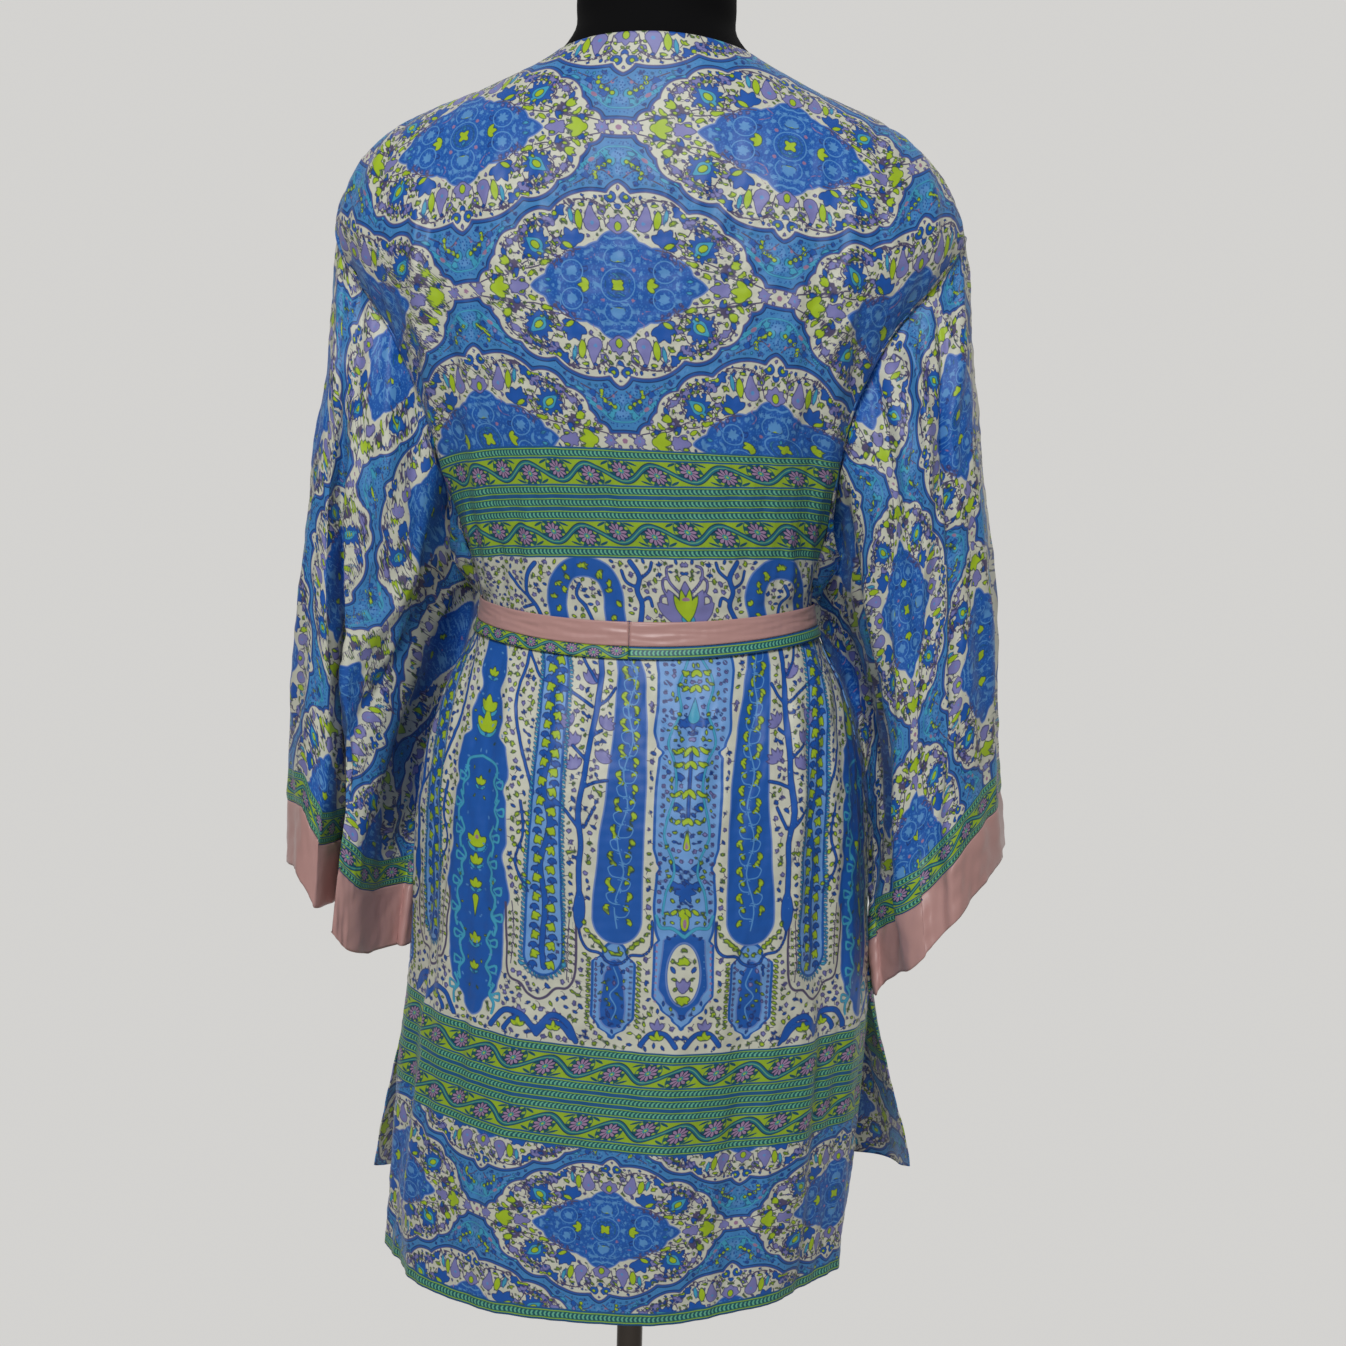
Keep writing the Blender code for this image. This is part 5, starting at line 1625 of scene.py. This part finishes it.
def silk(name, printed=True, roughness=0.48):
    """Thin printed silk: the print's inks, a fine weave and a soft sheen."""
    made = material(name, (0.3, 0.4, 0.6), roughness, sheen=0.06, specular=0.42)
    tree = made.node_tree
    shader = tree.nodes["Principled BSDF"]
    cell, across, along = attribute(tree, "lay")
    band, in_band = border(tree, across, along)
    colour = band
    if printed:
        inks = dict(zip(INKS, sum((attribute(tree, name) for name in FIELDS[:3]), [])))
        colour = over(tree, CREAM, CREAM, in_band)
        for level, tone in CELL_LINES:
            colour = over(tree, colour, tone, cell.above(level))
        spot = new_node(tree, "ShaderNodeTexVoronoi", {"Scale": 1.0})
        spot.voronoi_dimensions = "2D"
        tree.links.new(flat_place(tree, (420.0, 420.0)), spot.inputs["Vector"])
        specks = Wire(tree, spot.outputs["Distance"]).below(0.26, 0.08)
        lines = dict(zip(LINED, attribute(tree, FIELDS[3])))
        for ink, fill, edge, wide in PAINT:
            if edge:
                colour = over(tree, colour, edge, inks[ink].below(wide, 0.28))
            filled = inks[ink].below(-wide, 0.28)
            if ink in LINED:
                line = lines[ink].math("ABSOLUTE").below(1.0, 0.35) * inks[ink].below(1.0, 0.2)
                filled = filled.math("MAXIMUM", line)
            colour = over(tree, colour, fill, filled)
            if ink == "panel":
                dots = specks * inks[ink].below(-1.6, 0.3) * cell.above(-19.5)
                colour = over(tree, colour, (0.20, 0.46, 0.78), dots)
        bells = specks * cell.above(4.6, 0.4)
        colour = over(tree, colour, (0.14, 0.38, 0.68), bells * inks["teal"].above(0.8))
        colour = over(tree, colour, band, in_band)
    tone = noise(tree, (60.0, 60.0))
    shade = tree.nodes.new("ShaderNodeHueSaturation")
    tree.links.new(colour, shade.inputs["Color"])
    tree.links.new((tone * 0.16 + 0.92).socket, shade.inputs["Value"])
    tree.links.new(shade.outputs[0], shader.inputs["Base Color"])
    weave = noise(tree, (900.0, 2400.0), 0.0) + noise(tree, (2400.0, 900.0), 0.0)
    bump = new_node(tree, "ShaderNodeBump", {"Strength": 0.12, "Distance": 0.0002})
    tree.links.new(weave.socket, bump.inputs["Height"])
    tree.links.new(bump.outputs[0], shader.inputs["Normal"])
    return made


SILK = silk("printed silk")
BORDER = silk("border silk", printed=False)
SATIN = material("mauve satin", linear((0.775, 0.60, 0.58))[:3], 0.38, sheen=0.10)
JERSEY = material("black jersey", (0.004, 0.004, 0.0045), 0.9, specular=0.12)
POLE = material("dark pole metal", (0.10, 0.085, 0.075), 0.3, 0.9)
BASE = material("dark base paint", (0.03, 0.03, 0.032), 0.4, 0.3)

def belt_lift(angle):
    """The belt passes over one layer behind, and over both fronts before."""
    over = ease((-angle - 20.0) / 30.0) * ease((angle + 128.0) / 8.0)
    return CLOTH / 2 + BELT_CLEAR + BELT_THICK / 2 + OVERLAP_LIFT * over


def form_ring(row):
    values = dict(zip(FORM_COLUMNS, row))
    s = np.sin(np.radians(FORM_ANGLES))
    depth = np.where(s > 0, values["back_y"], values["front_y"])
    middle_z = np.where(s > 0, values["back_z"], values["front_z"])
    x, y = section(FORM_ANGLES, values["width"], depth)
    return np.stack([x, y, values["side_z"] + (middle_z - values["side_z"]) * s**2], axis=-1)


def form_shoulder(down):
    """A ring of the form that follows the robe's, just under it along the shoulder."""
    downs = np.full(len(FORM_ANGLES), down)
    ring = plain_surface(FORM_ANGLES, downs)
    ring -= normal_of(plain_surface, FORM_ANGLES, downs) * FORM_CLEARANCE
    return ring * np.array([1.0, 0.95, 1.0])


# Pieces

def finish_piece(obj, material, node):
    obj.data.materials.clear()
    obj.data.materials.append(material)
    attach(obj, "root")
    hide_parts(node)


def free_to_crease(down):
    """0 to 1: the shoulders lie on the form, and the belt holds the waist."""
    shoulder = (0.25 + 0.75 * ease((down - 0.05) / 0.12)) * ease((down + 0.004) / 0.03)
    return beside_belt(down) * shoulder


for name, node, (points, flat), creases, seed, uneven, shift, cut, area in (
    ("back_cloth_upper", "back_panel", back_cloth(True), BACK_CREASES, 3, 0.0010, 0.0, (0.56, 0.44), 0.172),
    ("back_cloth_lower", "back_panel", back_cloth(False), BACK_CREASES, 3, 0.0010, 0.0, (0.52, 0.48), 0.221),
    ("left_front_cloth", "left_front", front_cloth(True), LEFT_FRONT_CREASES, 5, 0.0006, 0.10,
     (0.32, 0.86), 0.215),
    ("right_front_cloth", "right_front", front_cloth(False), RIGHT_FRONT_CREASES, 6, 0.0006, 0.25,
     (0.32, 0.86), 0.207),
):
    points = creased(points, flat, creases, seed, uneven, free_to_crease(flat[..., 1]))
    made = grid_object(name, points, flat, away_from_axis, fields=panel_cloth_print(flat, shift))
    finish_piece(made, SILK, node)

for side, creases, seed, shift, cut, area, band in (
    ("left", LEFT_SLEEVE_CREASES, 11, (-200.0, 280.0), (0.63, 0.48), 0.205, (0.64, 0.043)),
    ("right", RIGHT_SLEEVE_CREASES, 12, (-50.0, 115.0), (0.58, 0.48), 0.185, (0.53, 0.036)),
):
    points, flat = sleeve_cloth(side == "left")
    inner_x = 0.20 if side == "left" else -0.20
    outward = lambda p: p - np.array([inner_x, 0.0, p[2]])
    # Nothing moves at the armhole and little beside the body; the cuff's seam draws in
    from_armhole = np.linspace(0.0, 1.0, len(points))[:, None]
    at_underarm = np.abs(np.linspace(-1.0, 1.0, points.shape[1]))[None, :]
    still = ease((from_armhole - 0.02) / 0.10) * (1.0 - 0.85 * ease((at_underarm - 0.72) / 0.20))
    points = creased(points, flat, creases, seed, 0.0012, still, inner_x)
    dip = -0.0006 * np.exp(-((flat[..., 1] / 0.0025) ** 2))
    points = points + outward_normals(points, inner_x) * dip[..., None]
    above, below = slice(None, SLEEVE_ROWS), slice(SLEEVE_ROWS - 1, None)
    fields = sleeve_cloth_print(flat[above], shift)
    sleeve = grid_object(f"{side}_sleeve_cloth", points[above], flat[above], outward, fields=fields)
    finish_piece(sleeve, SILK, f"{side}_sleeve")
    cuff = grid_object(f"{side}_cuff_cloth", points[below], flat[below], outward)
    finish_piece(cuff, SATIN, f"{side}_cuff")


# The belt, its printed strip, its knot and its ends

def belt_strip(name, left, top, height, rows, seed, wrinkle):
    """A band round the waist, from the centre of the back to the knot."""
    ends = (90.0 - BELT_MEET, BELT_END) if left else (90.0 + BELT_MEET, 180.0 - BELT_END)
    angle = np.linspace(*ends, 300)[None, :]
    folded = np.where(angle > 180.0, angle - 360.0, angle)
    t = np.linspace(0.0, 1.0, rows)[:, None]
    down = top + height * t
    angle, down, lift, t = np.broadcast_arrays(angle, down, belt_lift(folded), t)
    crown = 0.0005 * (1 - (2 * t - 1) ** 4)
    points = lifted(angle, down, lift + crown)
    flat = np.stack([arc_from(points, 0) * (1.0 if left else -1.0), down - top], axis=-1)
    x, d = flat[..., 0], flat[..., 1]
    soft = ripple(x, d, seed, 0.06, 0.006, wrinkle) + ripple(x, d, seed + 9, 0.012, 0.03, wrinkle * 0.35)
    points = points + grid_normals(points) * (soft * np.sin(np.pi * t) ** 0.5)[..., None]
    units = STRIPE * (1.05 + 1.9 * d / height if left else d / height)
    fields = {"lay": np.stack([0 * x, units, x * (1500.0 if left else 1000.0)], axis=-1)}
    return grid_object(name, points, flat, away_from_axis, BELT_THICKNESS, False, fields)


TRIM_TOP = BELT_TOP + BELT_HEIGHT + GAP
for side, left in (("left", True), ("right", False)):
    band = belt_strip(f"belt_{side}_satin", left, BELT_TOP, BELT_HEIGHT, 16, 21 + left, 0.00030)
    finish_piece(band, SATIN, f"belt_{side}")
    strip = belt_strip(f"belt_{side}_strip", left, TRIM_TOP, TRIM_HEIGHT, 8, 31 + left, 0.00025)
    finish_piece(strip, BORDER, f"belt_trim_{side}")


def belt_knot():
    """A plain knot: the belt's end passes over a drawn-in bundle and comes out below."""
    centre = lifted(-90.0, BELT_TOP + 0.013, OVERLAP_LIFT + CLOTH / 2 + 0.002 + KNOT_HALF[1])
    u = np.linspace(0.0, 2 * np.pi, 97)[None, :]
    v = np.linspace(0.02, np.pi - 0.02, 49)[:, None]
    x = np.sin(v) * np.cos(u)
    y = np.sin(v) * np.sin(u)
    z = np.cos(v) + 0 * u
    ball = np.stack([np.sign(p) * np.abs(p) ** 0.68 for p in (x, y, z)], axis=-1)
    pleats = 0.045 * np.sin(9.0 * z + 2.2 * x) + 0.03 * np.sin(17.0 * z - 3.0 * x + 1.0)
    over = np.exp(-(((x + 0.16 * z) / 0.34) ** 4)) * (y < 0.35)
    scale = 0.90 + pleats * (1 - over) + 0.10 * over
    points = centre + ball * np.array(KNOT_HALF) * scale[..., None]
    flat = np.stack(np.broadcast_arrays(u * 0.012, v * 0.012), axis=-1)
    knot = grid_object("belt_knot_satin", points, flat, lambda p: p - centre, thick=0.0)
    finish_piece(knot, SATIN, "belt_knot")


def belt_end(name, side):
    """One hanging end of the belt, on the left for side 1 and on the right for side -1."""
    t = np.linspace(0.0, 1.0, 150)[:, None]
    u = np.linspace(-1.0, 1.0, 17)[None, :]
    length = TAIL_LENGTH * (1.0 if side > 0 else RIGHT_TAIL_SHARE)
    down = BELT_TOP + TAIL_START + t * length
    centre = -90.0 + side * (6.4 + 1.2 * t)
    # Drawn in at the knot, and in degrees round the body there
    half_width = np.degrees(0.0065 + 0.0065 * ease(t / 0.2)) / WAIST_RADIUS
    clear = OVERLAP_LIFT + CLOTH / 2 + BELT_CLEAR + BELT_THICK / 2
    fold = 0.0012 * np.exp(-(((u - 0.25 * side) / 0.22) ** 2)) * ease((0.85 - t) / 0.6)
    sway = 0.0007 * np.sin(9.0 * t + side) * u
    angle, down, lift = np.broadcast_arrays(centre + u * half_width, down, clear + 0.0010 + fold + sway)
    points = lifted(angle, down, lift)
    flat = np.stack([arc_from(points, 8), down - down[:1]], axis=-1)
    made = grid_object(f"{name}_satin", points, flat, away_from_axis, rim_only=False)
    finish_piece(made, SATIN, name)


belt_knot()
belt_end("belt_tail_left", 1)
belt_end("belt_tail_right", -1)


# The dress form and its stand

def between_rings(rings, steps):
    """Rings put between the given ones on smooth curves."""
    rings = np.asarray(rings)
    before = np.concatenate([rings[:1], rings[:-1]])
    after = np.concatenate([rings[1:], rings[-1:]])
    slope = (after - before) / 2
    made = []
    for i in range(len(rings) - 1):
        for k in range(steps):
            t = k / steps
            made.append(
                rings[i] * (2 * t**3 - 3 * t**2 + 1) + rings[i + 1] * (3 * t**2 - 2 * t**3)
                + slope[i] * (t**3 - 2 * t**2 + t) + slope[i + 1] * (t**3 - t**2)
            )
    return np.array(made + [rings[-1]])


def fine_form():
    rings = [form_ring(row) for row in FORM_NECK]
    rings += [form_shoulder(down) for down in FORM_TOP_ROWS]
    rings += [form_ring(row) for row in FORM_TORSO]
    rings = between_rings(rings, 4)
    top, bottom = rings[0].mean(axis=0), rings[-1].mean(axis=0)
    rings = np.concatenate([[top + (rings[0] - top) * k for k in (0.02, 0.5)], rings,
                            [bottom + (rings[-1] - bottom) * k for k in (0.98, 0.5, 0.02)]])
    rings = np.concatenate([rings, rings[:, :1]], axis=1)
    flat = np.stack([arc_from(rings, 0), np.broadcast_to(-rings[..., 2], rings.shape[:2])], axis=-1)
    form = grid_object("dress_form_fine", rings, flat, away_from_axis, thick=0.0)
    form.modifiers.new("close", "WELD").merge_threshold = 0.0002
    finish_piece(form, JERSEY, "dress_form")


def turned(name, profile, segments, material, slot, node):
    """A round piece from its profile of radius and height."""
    radius, height = np.hsplit(np.array(profile), 2)
    around = np.linspace(0.0, 2 * np.pi, segments + 1)
    points = np.stack(np.broadcast_arrays(radius * np.cos(around), radius * np.sin(around), height), axis=-1)
    flat = np.stack(np.broadcast_arrays(arc_from(points, 0), height), axis=-1)
    made = grid_object(name, points, flat, away_from_axis, thick=0.0)
    made.modifiers.new("close", "WELD").merge_threshold = 0.00005
    made.data.set_sharp_from_angle(angle=math.radians(40))
    finish_piece(made, material, node)


fine_form()
MIDDLE, BEVEL, ROUNDING = 0.0001, 0.0004, 0.004  # radius of a round end's middle; edges' sizes
pole_top, pole_foot = FORM_BOTTOM - GAP, BASE_THICK + GAP
turned("stand_pole_fine", [
    (MIDDLE, pole_top), (POLE_RADIUS - BEVEL, pole_top), (POLE_RADIUS, pole_top - BEVEL),
    (POLE_RADIUS, 0.5), (POLE_RADIUS, pole_foot), (MIDDLE, pole_foot),
], 64, POLE, "pole_metal", "stand_pole")
rim = [arc_point(BASE_RADIUS - ROUNDING, BASE_THICK - ROUNDING, ROUNDING, 0.5 - k / 14) for k in range(8)]
turned("stand_base_fine", [
    (MIDDLE, BASE_THICK), (0.05, BASE_THICK), (0.12, BASE_THICK), *rim, (BASE_RADIUS, 0.0006),
    (BASE_RADIUS - 0.0006, 0.0), (0.05, 0.0), (MIDDLE, 0.0),
], 128, BASE, "base_metal", "stand_base")

# Camera, light and floor

PHOTO_PIXELS = 1346
SENSOR = 36.0
CAMERA_AWAY = 1.75  # metres from the form's axis
FOCAL_PIXELS = 1391 * CAMERA_AWAY
CAMERA_TURN, CAMERA_PITCH, CAMERA_ROLL = (math.radians(angle) for angle in (187.0, 5.7, 1.25))
CAMERA_HEIGHT = 1.121
CAMERA_ASIDE = 0.0215  # to the right, as the photo sees it

KEY_PLACE, KEY_TARGET, KEY_WATTS = (0.10, 2.45, 3.05), (0.0, 0.0, 0.95), 58
SKY_COLOUR = (0.80, 0.79, 0.77, 1.0)
BACKDROP = 0.82  # the background's strength where the camera sees it
SKY = {"From Min": -0.7, "From Max": 0.0, "To Min": 0.82, "To Max": 0.18}  # its light, by Y
FLOOR_COLOUR = (0.62, 0.61, 0.59)
FLOOR_X, FLOOR_FRONT, FLOOR_BACK = 6.0, -0.86, 9.0


def photo_camera():
    back_way = Vector((math.sin(CAMERA_TURN), -math.cos(CAMERA_TURN), 0.0))
    right = Vector((math.cos(CAMERA_TURN), math.sin(CAMERA_TURN), 0.0))
    look = -back_way * math.cos(CAMERA_PITCH) + Vector((0.0, 0.0, -1.0)) * math.sin(CAMERA_PITCH)
    up = right.cross(look)
    turned_right = right * math.cos(CAMERA_ROLL) + up * math.sin(CAMERA_ROLL)
    turned_up = up * math.cos(CAMERA_ROLL) - right * math.sin(CAMERA_ROLL)
    data = bpy.data.cameras.new("camera")
    data.sensor_width = SENSOR
    data.lens = FOCAL_PIXELS / PHOTO_PIXELS * SENSOR
    placed = Matrix((turned_right, turned_up, -look)).transposed().to_4x4()
    placed.translation = back_way * CAMERA_AWAY + Vector((0.0, 0.0, CAMERA_HEIGHT)) + right * CAMERA_ASIDE
    camera = placed_object("camera", data)
    camera.matrix_world = placed
    bpy.context.scene.camera = camera


def key_light():
    data = bpy.data.lights.new("key", "AREA")
    data.shape = "RECTANGLE"
    data.size = data.size_y = 1.0
    data.energy = KEY_WATTS
    lamp = placed_object("key", data)
    lamp.location = KEY_PLACE
    lamp.rotation_euler = (Vector(KEY_TARGET) - Vector(KEY_PLACE)).to_track_quat("-Z", "Y").to_euler()


def pale_floor():
    """A plain floor that ends before the photo's view would show it."""
    mesh = bpy.data.meshes.new("floor")
    corners = ((-FLOOR_X, FLOOR_FRONT), (FLOOR_X, FLOOR_FRONT), (FLOOR_X, FLOOR_BACK), (-FLOOR_X, FLOOR_BACK))
    mesh.from_pydata([(x, y, 0.0) for x, y in corners], [], [(0, 1, 2, 3)])
    mesh.materials.append(material("pale floor", FLOOR_COLOUR, 1.0, specular=0.0))
    placed_object("floor", mesh)


def studio_world():
    """Light from all round, weaker from the photo's side, before an evenly pale background."""
    world = bpy.data.worlds.new("studio")
    world.use_nodes = True
    tree = world.node_tree
    sky = tree.nodes["Background"]
    set_inputs(sky, {"Color": SKY_COLOUR})
    place = new_node(tree, "ShaderNodeTexCoord")
    parts = new_node(tree, "ShaderNodeSeparateXYZ")
    dimmer = new_node(tree, "ShaderNodeMapRange", SKY)
    seen = new_node(tree, "ShaderNodeLightPath")
    backdrop = new_node(tree, "ShaderNodeMix", {"B": BACKDROP})
    for start, end in (
        (place.outputs["Generated"], parts.inputs[0]),
        (parts.outputs["Y"], dimmer.inputs["Value"]),
        (seen.outputs["Is Camera Ray"], backdrop.inputs["Factor"]),
        (dimmer.outputs["Result"], backdrop.inputs["A"]),
        (backdrop.outputs["Result"], sky.inputs["Strength"]),
    ):
        tree.links.new(start, end)
    bpy.context.scene.world = world


photo_camera()
pale_floor()
key_light()
studio_world()
bpy.context.scene.view_settings.view_transform = "Standard"
